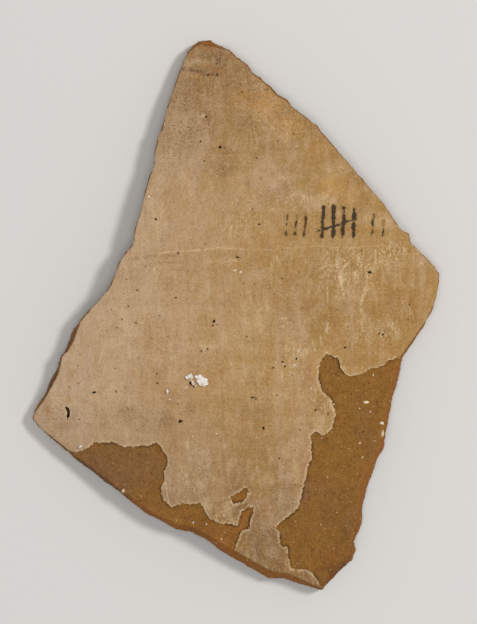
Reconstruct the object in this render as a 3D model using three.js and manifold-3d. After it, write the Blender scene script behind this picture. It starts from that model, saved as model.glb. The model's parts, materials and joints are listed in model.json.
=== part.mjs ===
// An ostracon: a broken piece of a wheel-thrown jar's wall, lying with its outer face up.
// Lengths are in millimetres. The jar's axis ran along Y, and Z points up.
// The wall is turned as a full ring, as on the wheel, and the sherd is broken out of it.
import * as THREE from 'three';
import { ConvexHull } from 'three/addons/math/ConvexHull.js';
import { mergeVertices } from 'three/addons/utils/BufferGeometryUtils.js';
import Module from 'manifold-3d';

const wasm = await Module();
wasm.setup();

// The sherd, seen from above
const sherdWidth = 105;
const sherdLength = 142.7;

// The jar: its outer radius at the sherd, and the radius of its profile
const jarRadius = 150;
const profileRadius = 330;

// The wall: fired clay, the pale slip on it, and the seat between the two
const clayThickness = 5.8;
const slipThickness = 0.45;
const bondGap = 0.25;

// The ridges that the thrower's fingers left on the inner face
const ridgePitch = 9;
const ridgeDepth = 0.35;
const ridgeSteps = 6;

// The broken faces: their roughness, their worn corners, how far the slip stops short of them,
// and the wear where the sherd rests
const fractureRelief = 0.4;
const cornerWear = 0.25;
const slipSetback = 0.15;
const wearDepth = 0.5;

// The facets of the outer face
const outerFacetLength = 9;

// What burnt or fell out of the clay
const chaffVoidDepth = 1.1;
const pinholeRadius = 0.45;
const pinholeSides = 6;

// Burial lime on the slip, and limestone grains in the clay
const crustLength = 3.3;
const crustWidth = 2.5;
const crustThickness = 0.45;
const crustSides = 10;
const gritLength = 2.2;
const gritWidth = 1;
const gritThickness = 1.1;

// How far every cutter runs past what it cuts
const overrun = 3;

// The broken edge, clockwise from the top: x and y as shares of the width and the length from the
// middle, and the lean as a share of the wall: how far the broken face runs out below its upper
// edge, or in below it where the lean is negative
const brokenEdgeShares = [
  [-0.093, 0.497, 0.24], [-0.078, 0.500, 0.34], [-0.063, 0.499, 0.34], [-0.052, 0.495, 0.28],
  [-0.036, 0.487, 0.16], [-0.014, 0.480, 0.08], [0.004, 0.465, 0.05], [0.026, 0.453, 0.04],
  [0.046, 0.435, 0.04], [0.066, 0.425, 0.07], [0.085, 0.413, 0.09], [0.105, 0.397, 0.09],
  [0.124, 0.388, 0.04], [0.155, 0.364, -0.05], [0.172, 0.355, -0.05], [0.199, 0.342, 0.05],
  [0.219, 0.322, 0.04], [0.267, 0.281, -0.08], [0.291, 0.262, -0.10], [0.307, 0.245, -0.12],
  [0.348, 0.213, -0.10], [0.365, 0.198, -0.08], [0.390, 0.168, -0.14], [0.407, 0.154, -0.12],
  [0.425, 0.145, -0.05], [0.428, 0.131, -0.05], [0.448, 0.118, -0.14], [0.468, 0.102, -0.18],
  [0.490, 0.087, -0.18], [0.500, 0.073, -0.16], [0.499, 0.058, -0.14], [0.494, 0.029, -0.10],
  [0.481, 0.005, -0.06], [0.463, -0.020, 0.03], [0.426, -0.062, 0.08], [0.411, -0.080, 0.14],
  [0.405, -0.101, 0.21], [0.389, -0.149, 0.26], [0.371, -0.209, 0.12], [0.366, -0.239, 0.16],
  [0.351, -0.261, 0.24], [0.337, -0.288, 0.28], [0.324, -0.315, 0.31], [0.314, -0.346, 0.28],
  [0.312, -0.377, 0.24], [0.295, -0.409, 0.21], [0.297, -0.426, 0.21], [0.287, -0.445, 0.28],
  [0.261, -0.462, 0.34], [0.239, -0.477, 0.30], [0.212, -0.500, 0.10], [0.182, -0.492, 0.10],
  [0.152, -0.486, 0.22], [0.118, -0.480, 0.31], [0.080, -0.477, 0.33], [0.043, -0.463, 0.33],
  [0.007, -0.447, 0.33], [-0.036, -0.428, 0.31], [-0.079, -0.406, 0.28], [-0.113, -0.393, 0.26],
  [-0.150, -0.388, 0.26], [-0.187, -0.373, 0.22], [-0.224, -0.358, 0.21], [-0.296, -0.317, 0.16],
  [-0.343, -0.290, 0.16], [-0.387, -0.266, 0.14], [-0.420, -0.246, 0.08], [-0.454, -0.223, 0.03],
  [-0.483, -0.205, -0.06], [-0.500, -0.188, -0.10], [-0.495, -0.173, 0.03], [-0.479, -0.152, 0.12],
  [-0.462, -0.128, 0.16], [-0.446, -0.104, 0.17], [-0.433, -0.087, 0.03], [-0.429, -0.075, 0.03],
  [-0.421, -0.063, 0.14], [-0.412, -0.046, 0.22], [-0.400, -0.026, 0.21], [-0.384, -0.012, 0.03],
  [-0.358, 0.009, -0.10], [-0.333, 0.028, -0.16], [-0.307, 0.052, -0.18], [-0.295, 0.074, -0.18],
  [-0.285, 0.095, -0.17], [-0.269, 0.111, -0.14], [-0.255, 0.124, -0.14], [-0.248, 0.151, -0.17],
  [-0.235, 0.184, -0.20], [-0.226, 0.213, -0.20], [-0.214, 0.244, -0.20], [-0.204, 0.264, -0.18],
  [-0.200, 0.290, -0.16], [-0.194, 0.306, -0.12], [-0.193, 0.321, -0.12], [-0.182, 0.333, -0.15],
  [-0.177, 0.355, -0.17], [-0.168, 0.377, -0.17], [-0.142, 0.434, -0.17], [-0.130, 0.458, -0.12],
  [-0.118, 0.474, -0.05], [-0.105, 0.487, 0.09],
];

// Heights in the wall at which the broken face steps in or out, from the inner skin to the outer
const faceLevelShares = [0, 0.06, 0.36, 0.66, 0.94, 1];

// Where the slip has flaked off, each outline run past the broken edge
const lowerLeftFlakeShares = [
  [-0.434, -0.250], [-0.410, -0.245], [-0.390, -0.249], [-0.374, -0.246], [-0.360, -0.240],
  [-0.348, -0.231], [-0.325, -0.234], [-0.304, -0.231], [-0.291, -0.238], [-0.271, -0.241],
  [-0.236, -0.240], [-0.209, -0.237], [-0.194, -0.233], [-0.182, -0.240], [-0.176, -0.251],
  [-0.167, -0.264], [-0.170, -0.276], [-0.176, -0.286], [-0.176, -0.300], [-0.186, -0.316],
  [-0.176, -0.336], [-0.157, -0.348], [-0.134, -0.343], [-0.088, -0.342], [-0.077, -0.354],
  [-0.062, -0.371], [-0.038, -0.377], [-0.011, -0.380], [0.007, -0.384], [0.012, -0.362],
  [0.030, -0.352], [0.046, -0.350], [0.038, -0.370], [0.033, -0.389], [0.015, -0.393],
  [0.001, -0.412], [-0.005, -0.423], [0.001, -0.439], [-0.011, -0.464], [-0.286, -0.373],
  [-0.434, -0.282],
];
const lowerRightFlakeShares = [
  [0.229, -0.512], [0.208, -0.488], [0.205, -0.483], [0.197, -0.474], [0.187, -0.466],
  [0.172, -0.460], [0.152, -0.457], [0.136, -0.456], [0.129, -0.439], [0.130, -0.423],
  [0.113, -0.420], [0.109, -0.398], [0.099, -0.387], [0.115, -0.379], [0.132, -0.366],
  [0.153, -0.353], [0.161, -0.341], [0.168, -0.319], [0.176, -0.293], [0.181, -0.275],
  [0.188, -0.259], [0.188, -0.233], [0.187, -0.221], [0.198, -0.213], [0.217, -0.220],
  [0.228, -0.217], [0.240, -0.208], [0.245, -0.191], [0.251, -0.180], [0.243, -0.169],
  [0.239, -0.157], [0.230, -0.148], [0.212, -0.136], [0.205, -0.118], [0.207, -0.100],
  [0.210, -0.086], [0.225, -0.070], [0.241, -0.075], [0.254, -0.080], [0.257, -0.096],
  [0.271, -0.107], [0.288, -0.112], [0.311, -0.108], [0.335, -0.099], [0.363, -0.093],
  [0.374, -0.084], [0.390, -0.079], [0.407, -0.084], [0.437, -0.086], [0.437, -0.228],
  [0.370, -0.410], [0.308, -0.501],
];
const slipHoleShares = [
  [-0.010, -0.332], [0.001, -0.325], [0.010, -0.320], [0.024, -0.314], [0.035, -0.317],
  [0.036, -0.324], [0.024, -0.333], [0.016, -0.342], [-0.009, -0.342],
];

// A stalk of chaff burnt out of the wall, near the left corner
const chaffVoidShares = [
  [-0.421, -0.168], [-0.415, -0.170], [-0.410, -0.177], [-0.411, -0.185], [-0.416, -0.191],
  [-0.419, -0.186], [-0.415, -0.179], [-0.418, -0.173],
];

// Pinholes in the slip: x, y and the radius as a share of the largest
const pinholeShares = [
  [-0.136, -0.193, 1], [-0.350, -0.140, 0.8], [-0.295, -0.139, 0.6], [-0.111, -0.123, 0.7],
  [-0.103, -0.129, 0.6], [-0.194, -0.106, 0.5], [-0.192, -0.124, 0.6], [-0.281, -0.008, 0.5],
  [-0.293, -0.023, 0.5], [-0.265, 0.016, 0.5], [-0.243, 0.045, 0.5], [-0.147, 0.031, 0.6],
  [-0.144, 0.113, 0.6], [-0.198, 0.175, 0.5], [-0.072, 0.360, 0.6], [-0.087, 0.316, 0.5],
  [-0.038, 0.305, 0.7], [-0.077, 0.281, 0.5], [0.015, 0.406, 0.5], [0.053, 0.286, 0.5],
  [0.057, 0.166, 0.6], [0.042, 0.192, 0.5], [0.001, 0.105, 0.7], [-0.053, -0.011, 0.5],
  [-0.084, -0.066, 0.6], [0.028, -0.040, 0.5], [0.115, -0.089, 0.6], [0.149, -0.080, 0.6],
  [0.092, -0.096, 0.5], [0.045, -0.149, 0.5], [0.101, -0.145, 0.5], [0.068, -0.204, 0.5],
  [0.109, -0.261, 0.5], [0.115, 0.066, 0.5], [0.333, 0.078, 0.9], [0.311, 0.015, 0.5],
  [0.432, 0.020, 0.5], [0.364, -0.036, 0.7], [0.271, -0.059, 0.5], [0.198, -0.173, 0.6],
  [0.226, -0.180, 0.5], [0.160, -0.209, 0.5],
];

// A pinhole's mouth and foot, as shares of its radius
const pinholeFlareShares = [1.3, 0.7];

// Lime crusts on the slip: place, size as a share of the largest, and the turn of their long side
const crustShares = [
  { name: 'lime_crust_large', place: [-0.085, -0.121], size: [1, 1], turn: -0.09 },
  { name: 'lime_crust_small', place: [-0.114, -0.113], size: [0.84, 0.54], turn: 0.04 },
  { name: 'lime_crust_spot', place: [-0.166, -0.139], size: [0.5, 0.3], turn: 0.28 },
  { name: 'lime_crust_margin_spot', place: [-0.380, -0.239], size: [0.24, 0.3], turn: 0.1 },
];

// A crust's section from the middle of its flat underside to its crown, and the bulge of its lobes
const crustSectionShares = [[0, 0], [1, 0], [0.9, 0.5], [0.55, 0.9], [0, 1]];
const crustLobes = 3;
const crustLobeShare = 0.17;

// Limestone grains that show in the bare clay, in the same way, and how far each is sunk into it
const gritShares = [
  { name: 'limestone_grit_long', place: [0.360, -0.215], size: [1, 0.85], turn: 0.22 },
  { name: 'limestone_grit_short', place: [0.358, -0.196], size: [0.6, 0.8], turn: -0.03 },
  { name: 'limestone_grit_flat', place: [0.319, -0.159], size: [0.95, 0.8], turn: 0.01 },
  { name: 'limestone_grit_round', place: [0.304, -0.232], size: [0.42, 0.7], turn: 0.1 },
  { name: 'limestone_grit_left', place: [-0.276, -0.318], size: [0.5, 0.9], turn: 0.15 },
];

const gritSinkShare = 0.25;

const slipColour = 0xb09268;
const clayColour = 0x966937;
const limeColour = 0xe6dfd6;
const gritColour = 0xdcc8a4;

// Depth below the slip's outer face
const slipInnerDepth = slipThickness;
const clayOuterDepth = slipThickness + bondGap;
const clayInnerDepth = clayOuterDepth + clayThickness;

// Radius of the jar at a height along its axis, at a depth below its outer face
function wallRadius(y, depth) {
  const arcRadius = profileRadius - depth;
  return jarRadius - profileRadius + Math.sqrt(arcRadius * arcRadius - y * y);
}

// Height of the same surface above the jar's axis, at a place seen from above
function wallHeight(x, y, depth) {
  const radius = wallRadius(y, depth);
  return Math.sqrt(radius * radius - x * x);
}

// The outward direction of the outer face at a place seen from above
function wallNormal(x, y) {
  const radius = wallRadius(y, 0);
  const height = wallHeight(x, y, 0);
  const spread = (radius + profileRadius - jarRadius) / radius;
  return new THREE.Vector3(x * spread, y, height * spread).normalize();
}

// A place given in shares, in millimetres from the middle
function placeOf([xShare, yShare]) {
  return new THREE.Vector2(xShare * sherdWidth, yShare * sherdLength);
}

// A closed geometry as a solid that can be joined and cut
function solidOf(geometry) {
  const bare = geometry.clone();
  bare.deleteAttribute('normal');
  bare.deleteAttribute('uv');
  const merged = mergeVertices(bare);
  return new wasm.Manifold(new wasm.Mesh({
    numProp: 3,
    vertProperties: merged.attributes.position.array,
    triVerts: Uint32Array.from(merged.index.array),
  }));
}

// A solid's faces as a geometry
function geometryOf(solid) {
  const faces = solid.getMesh();
  const geometry = new THREE.BufferGeometry();
  geometry.setAttribute('position', new THREE.BufferAttribute(faces.vertProperties, 3));
  geometry.setIndex(new THREE.BufferAttribute(faces.triVerts, 1));
  geometry.computeVertexNormals();
  return geometry;
}

// Heights along the jar's axis, a little past the sherd at both ends
function ringHeights(steps) {
  const reach = sherdLength / 2 + overrun;
  return Array.from({ length: steps + 1 }, (_, i) => reach * (2 * i / steps - 1));
}

// A full ring of the jar's wall, between an outer depth and an inner skin given as a function
function turnedRing(outerDepth, innerSkin, innerSteps) {
  const outerSteps = Math.round(sherdLength / outerFacetLength);
  const outer = ringHeights(outerSteps).map((y) => new THREE.Vector2(wallRadius(y, outerDepth), y));
  const inner = ringHeights(innerSteps).map((y) => new THREE.Vector2(innerSkin(y), y)).reverse();
  const segments = Math.round(2 * Math.PI * jarRadius / outerFacetLength);
  const profile = [...outer, ...inner, outer[0]];
  return solidOf(new THREE.LatheGeometry(profile, segments, Math.PI));
}

// The inner face with its throwing ridges, each a shallow furrow between two crests
function ridgedSkin(y) {
  const furrow = (1 - Math.cos(2 * Math.PI * y / ridgePitch)) / 2;
  return wallRadius(y, clayInnerDepth) + ridgeDepth * furrow;
}

// The inward direction at each corner of an outline, from the two sides that meet there
function inwardDirections(outline) {
  return outline.map((corner, i) => {
    const before = outline.at(i - 1);
    const after = outline[(i + 1) % outline.length];
    const along = after.clone().sub(corner).normalize().add(corner.clone().sub(before).normalize());
    return new THREE.Vector2(along.y, -along.x).normalize();
  });
}

// The broken edge at a level of the wall, 0 at the inner skin and 1 at the outer one
const silhouette = brokenEdgeShares.map(placeOf);
const inward = inwardDirections(silhouette);
function brokenOutline(level, setback) {
  return silhouette.map((corner, i) => {
    const lean = brokenEdgeShares[i][2] * clayThickness;
    const inset = lean > 0 ? lean * level : -lean * (1 - level);
    return corner.clone().addScaledVector(inward[i], inset + setback(i));
  });
}

// At the skins the break's corners are worn off. Between them it is uneven: each point of the
// outline steps in by its own part of the relief
function unevenSetback(level) {
  if (level === 0 || level === 1) {
    return () => cornerWear;
  }
  const goldenAngle = Math.PI * (3 - Math.sqrt(5));
  const phase = Math.PI * level;
  return (i) => fractureRelief * (1 + Math.sin(goldenAngle * i + phase)) / 2;
}

// Heights that no part of the sherd reaches
const roof = jarRadius + overrun;
const lowestSkin = Math.min(...silhouette.map(({ x, y }) => wallHeight(x, y, clayInnerDepth)));
const floor = lowestSkin - overrun;

// An upright prism over an outline, taller than the sherd
function prism(outline) {
  const settings = { depth: roof - floor, bevelEnabled: false };
  return solidOf(new THREE.ExtrudeGeometry(new THREE.Shape(outline), settings).translate(0, 0, floor));
}

// The block that the breaks leave: an extrusion of the edge whose rings follow the two skins
function brokenBlock() {
  const depths = faceLevelShares.map((level) => clayOuterDepth + clayThickness * (1 - level));
  const faces = faceLevelShares.map((level, k) => {
    const outline = brokenOutline(level, unevenSetback(level));
    return outline.map(({ x, y }) => new THREE.Vector3(x, y, wallHeight(x, y, depths[k])));
  });
  const flat = (ring, z) => ring.map((corner) => corner.clone().setZ(z));
  const rings = [flat(faces[0], floor), ...faces, flat(faces.at(-1), roof)];
  const steps = rings.length - 1;
  const shape = new THREE.Shape(silhouette);
  const block = new THREE.ExtrudeGeometry(shape, { depth: steps, steps, bevelEnabled: false });
  const corners = block.attributes.position;
  for (let i = 0; i < corners.count; i += 1) {
    const here = new THREE.Vector2(corners.getX(i), corners.getY(i));
    const spans = silhouette.map((corner) => corner.distanceTo(here));
    const target = rings[Math.round(corners.getZ(i))][spans.indexOf(Math.min(...spans))];
    corners.setXYZ(i, target.x, target.y, target.z);
  }
  return solidOf(block);
}

// Where a small piece sits: on the wall at a place, lifted off its outer face, long side turned
function seat(placeShares, lift, turn) {
  const { x, y } = placeOf(placeShares);
  const normal = wallNormal(x, y);
  const upright = new THREE.Quaternion().setFromUnitVectors(new THREE.Vector3(0, 0, 1), normal);
  const spin = new THREE.Quaternion().setFromAxisAngle(new THREE.Vector3(0, 0, 1), 2 * Math.PI * turn);
  const position = new THREE.Vector3(x, y, wallHeight(x, y, 0)).addScaledVector(normal, lift);
  return { position, quaternion: upright.multiply(spin) };
}

// A low crust with a lobed rim and a flat underside
function crustGeometry(length, width) {
  const section = crustSectionShares.map(([radius, height]) => new THREE.Vector2(radius, height));
  const mound = new THREE.LatheGeometry(section, crustSides).rotateX(Math.PI / 2);
  const corners = mound.attributes.position;
  for (let i = 0; i < corners.count; i += 1) {
    const x = corners.getX(i);
    const y = corners.getY(i);
    const lobe = 1 + crustLobeShare * Math.sin(crustLobes * Math.atan2(y, x));
    corners.setXY(i, x * lobe, y * lobe);
  }
  return mound.scale(length / 2, width / 2, crustThickness);
}

// A rounded grain, grown by a clearance on every side where its socket is wanted
function gritGeometry(length, width, clearance) {
  const grain = new THREE.IcosahedronGeometry(1, 1);
  const halves = [length, width, gritThickness].map((size) => size / 2 + clearance);
  return grain.scale(...halves);
}

function gritSize({ size }) {
  return [size[0] * gritLength, size[1] * gritWidth];
}

function gritSeat({ place, turn }) {
  return seat(place, -clayOuterDepth - gritSinkShare * gritThickness, turn);
}

// The hollows in which the grains lie
function gritSocket(grit) {
  const { position, quaternion } = gritSeat(grit);
  const socket = gritGeometry(...gritSize(grit), bondGap).applyQuaternion(quaternion);
  return solidOf(socket.translate(position.x, position.y, position.z));
}

// The void that the stalk left, from above the slip into the clay
function chaffVoid() {
  const outline = chaffVoidShares.map(placeOf);
  const { x, y } = outline[0];
  const bottom = wallHeight(x, y, clayOuterDepth + chaffVoidDepth);
  const settings = { depth: roof - bottom, bevelEnabled: false };
  const hole = new THREE.ExtrudeGeometry(new THREE.Shape(outline), settings);
  return solidOf(hole.translate(0, 0, bottom));
}

// A pinhole runs through the slip and narrows as it goes down
function pinhole([xShare, yShare, radiusShare]) {
  const [mouth, foot] = pinholeFlareShares.map((share) => share * radiusShare * pinholeRadius);
  const hole = new THREE.CylinderGeometry(mouth, foot, 3 * slipThickness, pinholeSides);
  const { position, quaternion } = seat([xShare, yShare], -slipThickness / 2, 0);
  hole.rotateX(Math.PI / 2).applyQuaternion(quaternion);
  return solidOf(hole.translate(position.x, position.y, position.z));
}

function clayBody() {
  const ridgeCount = (sherdLength + 2 * overrun) / ridgePitch;
  let clay = turnedRing(clayOuterDepth, ridgedSkin, Math.round(ridgeCount * ridgeSteps));
  clay = clay.intersect(brokenBlock()).subtract(chaffVoid());
  for (const grit of gritShares) {
    clay = clay.subtract(gritSocket(grit));
  }
  return clay;
}

function outerSlip() {
  const innerSteps = Math.round(sherdLength / outerFacetLength);
  let slip = turnedRing(0, (y) => wallRadius(y, slipInnerDepth), innerSteps);
  slip = slip.intersect(prism(brokenOutline(1, () => cornerWear + slipSetback)));
  for (const shares of [lowerLeftFlakeShares, lowerRightFlakeShares, slipHoleShares]) {
    slip = slip.subtract(prism(shares.map(placeOf)));
  }
  slip = slip.subtract(chaffVoid());
  for (const shares of pinholeShares) {
    slip = slip.subtract(pinhole(shares));
  }
  return slip;
}

// The middle of a solid's volume
function centroidOf(geometry) {
  const corners = geometry.attributes.position;
  const moment = new THREE.Vector3();
  let volume = 0;
  for (let i = 0; i < geometry.index.count; i += 3) {
    const [a, b, c] = [i, i + 1, i + 2].map((k) => (
      new THREE.Vector3().fromBufferAttribute(corners, geometry.index.getX(k))
    ));
    const wedge = a.dot(b.clone().cross(c));
    moment.addScaledVector(a.add(b).add(c), wedge / 4);
    volume += wedge;
  }
  return moment.divideScalar(volume);
}

// Whether a point lies over a face of a hull, seen along the face's normal
function liesOver(face, point) {
  let edge = face.edge;
  do {
    const tail = edge.tail().point;
    const side = edge.head().point.clone().sub(tail).cross(point.clone().sub(tail));
    if (side.dot(face.normal) < 0) {
      return false;
    }
    edge = edge.next;
  } while (edge !== face.edge);
  return true;
}

// The turn that lays the sherd on the three places where its hollow side touches a table
function restTurn(geometry) {
  const corners = geometry.attributes.position;
  const points = Array.from({ length: corners.count }, (_, i) => (
    new THREE.Vector3().fromBufferAttribute(corners, i)
  ));
  const centroid = centroidOf(geometry);
  const depthOf = (face) => face.midpoint.clone().sub(centroid).dot(face.normal);
  const hull = new ConvexHull().setFromPoints(points);
  const feet = hull.faces.filter((face) => face.normal.z < 0 && liesOver(face, centroid));
  feet.sort((a, b) => depthOf(a) - depthOf(b));
  return new THREE.Quaternion().setFromUnitVectors(feet[0].normal, new THREE.Vector3(0, 0, -1));
}

// The clay with its three resting places worn flat
function wornFlat(clay, turn) {
  const turned = geometryOf(clay).applyQuaternion(turn);
  turned.computeBoundingBox();
  const span = 2 * sherdLength + 2 * sherdWidth;
  const table = new THREE.BoxGeometry(span, span, overrun);
  table.translate(0, 0, turned.boundingBox.min.z + wearDepth - overrun / 2);
  return clay.subtract(solidOf(table.applyQuaternion(turn.clone().invert())));
}

function namedMesh(name, geometry, material) {
  const mesh = new THREE.Mesh(geometry, material);
  mesh.name = name;
  return mesh;
}

function dull(color) {
  return new THREE.MeshStandardMaterial({ color, roughness: 0.9, metalness: 0 });
}

const unworn = clayBody();
const turn = restTurn(geometryOf(unworn));

const sherd = new THREE.Group();
sherd.quaternion.copy(turn);
sherd.add(namedMesh('clay_body', geometryOf(wornFlat(unworn, turn)), dull(clayColour)));
sherd.add(namedMesh('outer_slip', geometryOf(outerSlip()), dull(slipColour)));

for (const crust of crustShares) {
  const geometry = crustGeometry(crust.size[0] * crustLength, crust.size[1] * crustWidth);
  const mesh = namedMesh(crust.name, geometry, dull(limeColour));
  const { position, quaternion } = seat(crust.place, bondGap, crust.turn);
  mesh.position.copy(position);
  mesh.quaternion.copy(quaternion);
  sherd.add(mesh);
}

for (const grit of gritShares) {
  const mesh = namedMesh(grit.name, gritGeometry(...gritSize(grit), 0), dull(gritColour));
  const { position, quaternion } = gritSeat(grit);
  mesh.position.copy(position);
  mesh.quaternion.copy(quaternion);
  sherd.add(mesh);
}

// The origin is on the table, under the middle of the sherd
const extent = new THREE.Box3().setFromObject(sherd, true);
const middle = extent.getCenter(new THREE.Vector3());
sherd.position.set(-middle.x, -middle.y, -extent.min.z);

const ostracon = new THREE.Group();
ostracon.add(sherd);

export default ostracon;
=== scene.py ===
"""An ostracon: a broken wall sherd of a wheel-thrown jar, lying with its slipped outer face up.

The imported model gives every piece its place, its outline and its curves. This file gives the
clay its break and its grains, the slip its flaked margins, pits and stains, and adds the burial
lime and a few worn tally strokes. Lengths are in metres where no other unit is named.
"""
import functools
import json
import math

import bmesh
import bpy
import numpy as np
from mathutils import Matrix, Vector, geometry, kdtree, noise
from mathutils.bvhtree import BVHTree

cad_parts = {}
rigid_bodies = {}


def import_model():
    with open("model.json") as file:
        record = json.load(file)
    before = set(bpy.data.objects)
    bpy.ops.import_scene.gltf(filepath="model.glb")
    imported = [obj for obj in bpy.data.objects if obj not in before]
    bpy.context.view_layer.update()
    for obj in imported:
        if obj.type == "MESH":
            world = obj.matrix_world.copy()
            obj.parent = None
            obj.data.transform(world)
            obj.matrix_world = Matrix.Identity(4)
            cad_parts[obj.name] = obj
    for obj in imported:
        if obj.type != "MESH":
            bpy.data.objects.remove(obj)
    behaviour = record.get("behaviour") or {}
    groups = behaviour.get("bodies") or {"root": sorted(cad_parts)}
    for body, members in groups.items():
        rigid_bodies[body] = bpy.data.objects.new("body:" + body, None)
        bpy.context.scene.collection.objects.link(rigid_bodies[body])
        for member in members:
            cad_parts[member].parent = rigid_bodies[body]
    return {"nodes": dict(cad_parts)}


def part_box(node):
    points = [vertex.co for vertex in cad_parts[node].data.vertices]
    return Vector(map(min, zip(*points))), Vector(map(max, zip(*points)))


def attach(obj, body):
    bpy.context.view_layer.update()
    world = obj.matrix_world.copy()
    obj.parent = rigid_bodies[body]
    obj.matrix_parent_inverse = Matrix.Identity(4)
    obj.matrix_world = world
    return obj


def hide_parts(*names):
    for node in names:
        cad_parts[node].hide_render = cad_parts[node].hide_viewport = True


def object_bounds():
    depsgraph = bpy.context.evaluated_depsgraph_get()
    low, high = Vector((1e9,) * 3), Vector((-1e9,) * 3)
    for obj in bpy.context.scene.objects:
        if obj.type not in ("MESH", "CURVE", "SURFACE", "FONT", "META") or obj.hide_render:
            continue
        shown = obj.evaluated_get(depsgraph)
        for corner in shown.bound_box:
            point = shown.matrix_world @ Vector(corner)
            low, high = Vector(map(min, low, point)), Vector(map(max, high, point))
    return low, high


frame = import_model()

CAD_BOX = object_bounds()
BOX_LOW, BOX_HIGH = (np.array(corner) for corner in CAD_BOX)
MM = 0.001

bl_info = {
    "name": "Ostracon",
    "version": (1, 0, 0),
    "blender": (4, 5, 0),
    "location": "3D View > Sidebar > Ostracon",
    "description": "Dresses a slipped potsherd: broken clay, flaked slip, burial lime and tally strokes",
    "category": "Add Mesh",
}

# The photograph's frame in pixels, the size of a pixel on the sherd, and the pixel over the origin
FRAME_WIDTH_PX = 477
FRAME_HEIGHT_PX = 624
PIXEL = 0.2564 * MM
ORIGIN_PX = (235.5, 315.0)

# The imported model's inner marks stand a little wide of the photograph's. This draws them in about the
# middle of the frame, and then moves the flaked edges and the pinholes, in pixels
DRAWN_IN = 0.984
EDGE_SHIFT_PX = (-0.6, 1.0)
PINHOLE_SHIFT_PX = (-0.5, 1.4)

# The edge of the small flaked hole wanders further than the others and leans into the hole, by shares
HOLE_WANDER = 1.9
HOLE_LEAN = -0.25

# Where a ragged edge crosses itself, it wanders less, by a share, for some points on each side, and
# that is tried a number of times
EASING = 0.8
EASED_POINTS = 4
EASING_TRIES = 12

# Marks near the sherd's own edge stay where they are, and marks further in are drawn in
EDGE_HOLDS = (1.5 * MM, 7 * MM)

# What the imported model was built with: the wall's layers, the pitch of the throwing ridges, and the
# largest area that one of its pinholes has
SLIP_THICKNESS = 0.45 * MM
BOND_GAP = 0.25 * MM
RIDGE_PITCH = 9 * MM
PINHOLE_AREA = 1.2 * MM * MM

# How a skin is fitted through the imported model's faces: powers of x and y in units of a reach, how
# level a face is, how often the fit is made again without the corners that stand off it, and how far
# off a corner may stand in the fit and in the search for outlines
SKIN_REACH = 70 * MM
SKIN_POWERS = 5
FACES_UP = 0.85
SKIN_FITS = 3
SKIN_FIT = 0.12 * MM
ON_SKIN = 0.15 * MM
# The faces that the sherd rests on lie lower than this, and are left out of the fit
RESTING_HEIGHT = 0.05 * MM

# Depths under a skin over which the skin's grain gives way to the broken face, in the mesh and in
# the material, the depth down to which hidden clay has larger facets, and the clay's triangles
SKIN_BLEND = (0.1 * MM, 0.45 * MM)
FACE_BLEND = (0.15 * MM, 0.6 * MM)
HIDDEN_DEPTH = 0.3 * MM
CLAY_TRIANGLES = 185000

# The hollow face's relief: the potter's fine lines and a grain. Points within a reach of the inner
# skin are first laid on it
INNER_LINES = 0.07 * MM
INNER_GRAIN = 0.05 * MM
INNER_REACH = 0.3 * MM

# The clay is filled in where each limestone grain lies, to a share of its box, just under the skin
GRIT_BED = 0.85
BED_DEPTH = 0.02 * MM

# The straw's void in the clay, from full depth to none round the slip's opening, and the rows of
# pixels between which the void's painted shade fades, darkest below the first
VOID_REACH = (0.05 * MM, 0.4 * MM)
VOID_ROWS_PX = (417, 408)

# The slip's relief: share of its depth, size, octaves and seed of each layer of noise. At its edge
# the slip rolls off by a depth over a width
SLIP_RELIEF = ((0.45, 9 * MM, 3, 21), (0.35, (1.6 * MM, 16 * MM), 3, 22), (0.20, 0.9 * MM, 2, 23))
ROLL_DEPTH = 0.16 * MM
ROLL_WIDTH = 0.5 * MM

# Small pits are scattered in the slip on a grid: how far they stray from it, the share that is kept,
# and their radii. They keep clear of the known marks and of the slip's edge. A pinhole of the packed
# model that is as near a listed mark as the last of these is that same mark
PIT_GRID = 4.6 * MM
PIT_STRAY_MM = 1.6
PITS_KEPT = 0.14
PIT_RADII_MM = (0.08, 0.17)
PIT_CLEARANCE = 1.4 * MM
PIT_EDGE_CLEARANCE = 0.8 * MM
SAME_PIT = 0.9 * MM
# Rings of points round each pit, by shares of its reach, and how far a pit's outline leaves an oval
# by its second and its third wave
PIT_RINGS = (1.2, 0.8, 0.4)
PIT_WAVES = (0.16, 0.14)

# The parts of what the slip stores for its material
SLIP_LAYERS = {
    "marks": ("pit", "rim", "scratch"), "tints": ("pink", "ochre", "dark"),
    "wear": ("pale", "scuffed", "worn"), "warm": ("warm",), "soil": ("soil",),
}

# How stones are made: a grain's broken planes and their reach, as shares of its box, and a crust's
# core, its lumps on each square millimetre, their size and how far out they sit. A speck is flatter
CHIP_PLANES = 8
CHIP_REACH = (0.66, 0.95)
CRUST_CORE = 0.72
LUMPS_PER_MM2 = 14
FEWEST_LUMPS = 8
LUMP_SIZE = (0.24, 0.44)
LUMP_REACH = (0.8, 1.05)
SPECK_FLATNESS = 0.5
# Facets, relief and seeds of the crusts and the grains, and how far a crust sinks past its gap
CRUST_FACET = 0.06 * MM
CRUST_RELIEF = 0.05 * MM
CRUST_SEED = 31
GRIT_FACET = 0.05 * MM
GRIT_RELIEF = 0.04 * MM
GRIT_SEED = 51
CRUST_SINK = 0.1 * MM

# Rays are cast straight down from high over the sherd
RAY_START = 1.0
DOWN = (0, 0, -1)

# The ink stands this far clear of the slip, and its strokes sway by up to half of this in x and y
FILM_LIFT = 0.008 * MM
STROKE_SWAY = (1.2 * MM, 0.8 * MM, 0)

# The stage: the camera straight above, the floor just under the sherd, and the light
CAMERA_HEIGHT = 1.2
CAMERA_TARGET_HEIGHT = 9 * MM
SENSOR_WIDTH_MM = 36
FLOOR_SIZE = 6.0
FLOOR_DROP = 0.05 * MM
FILL_STRENGTH = 0.33
BACKGROUND_STRENGTH = 0.92
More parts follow.
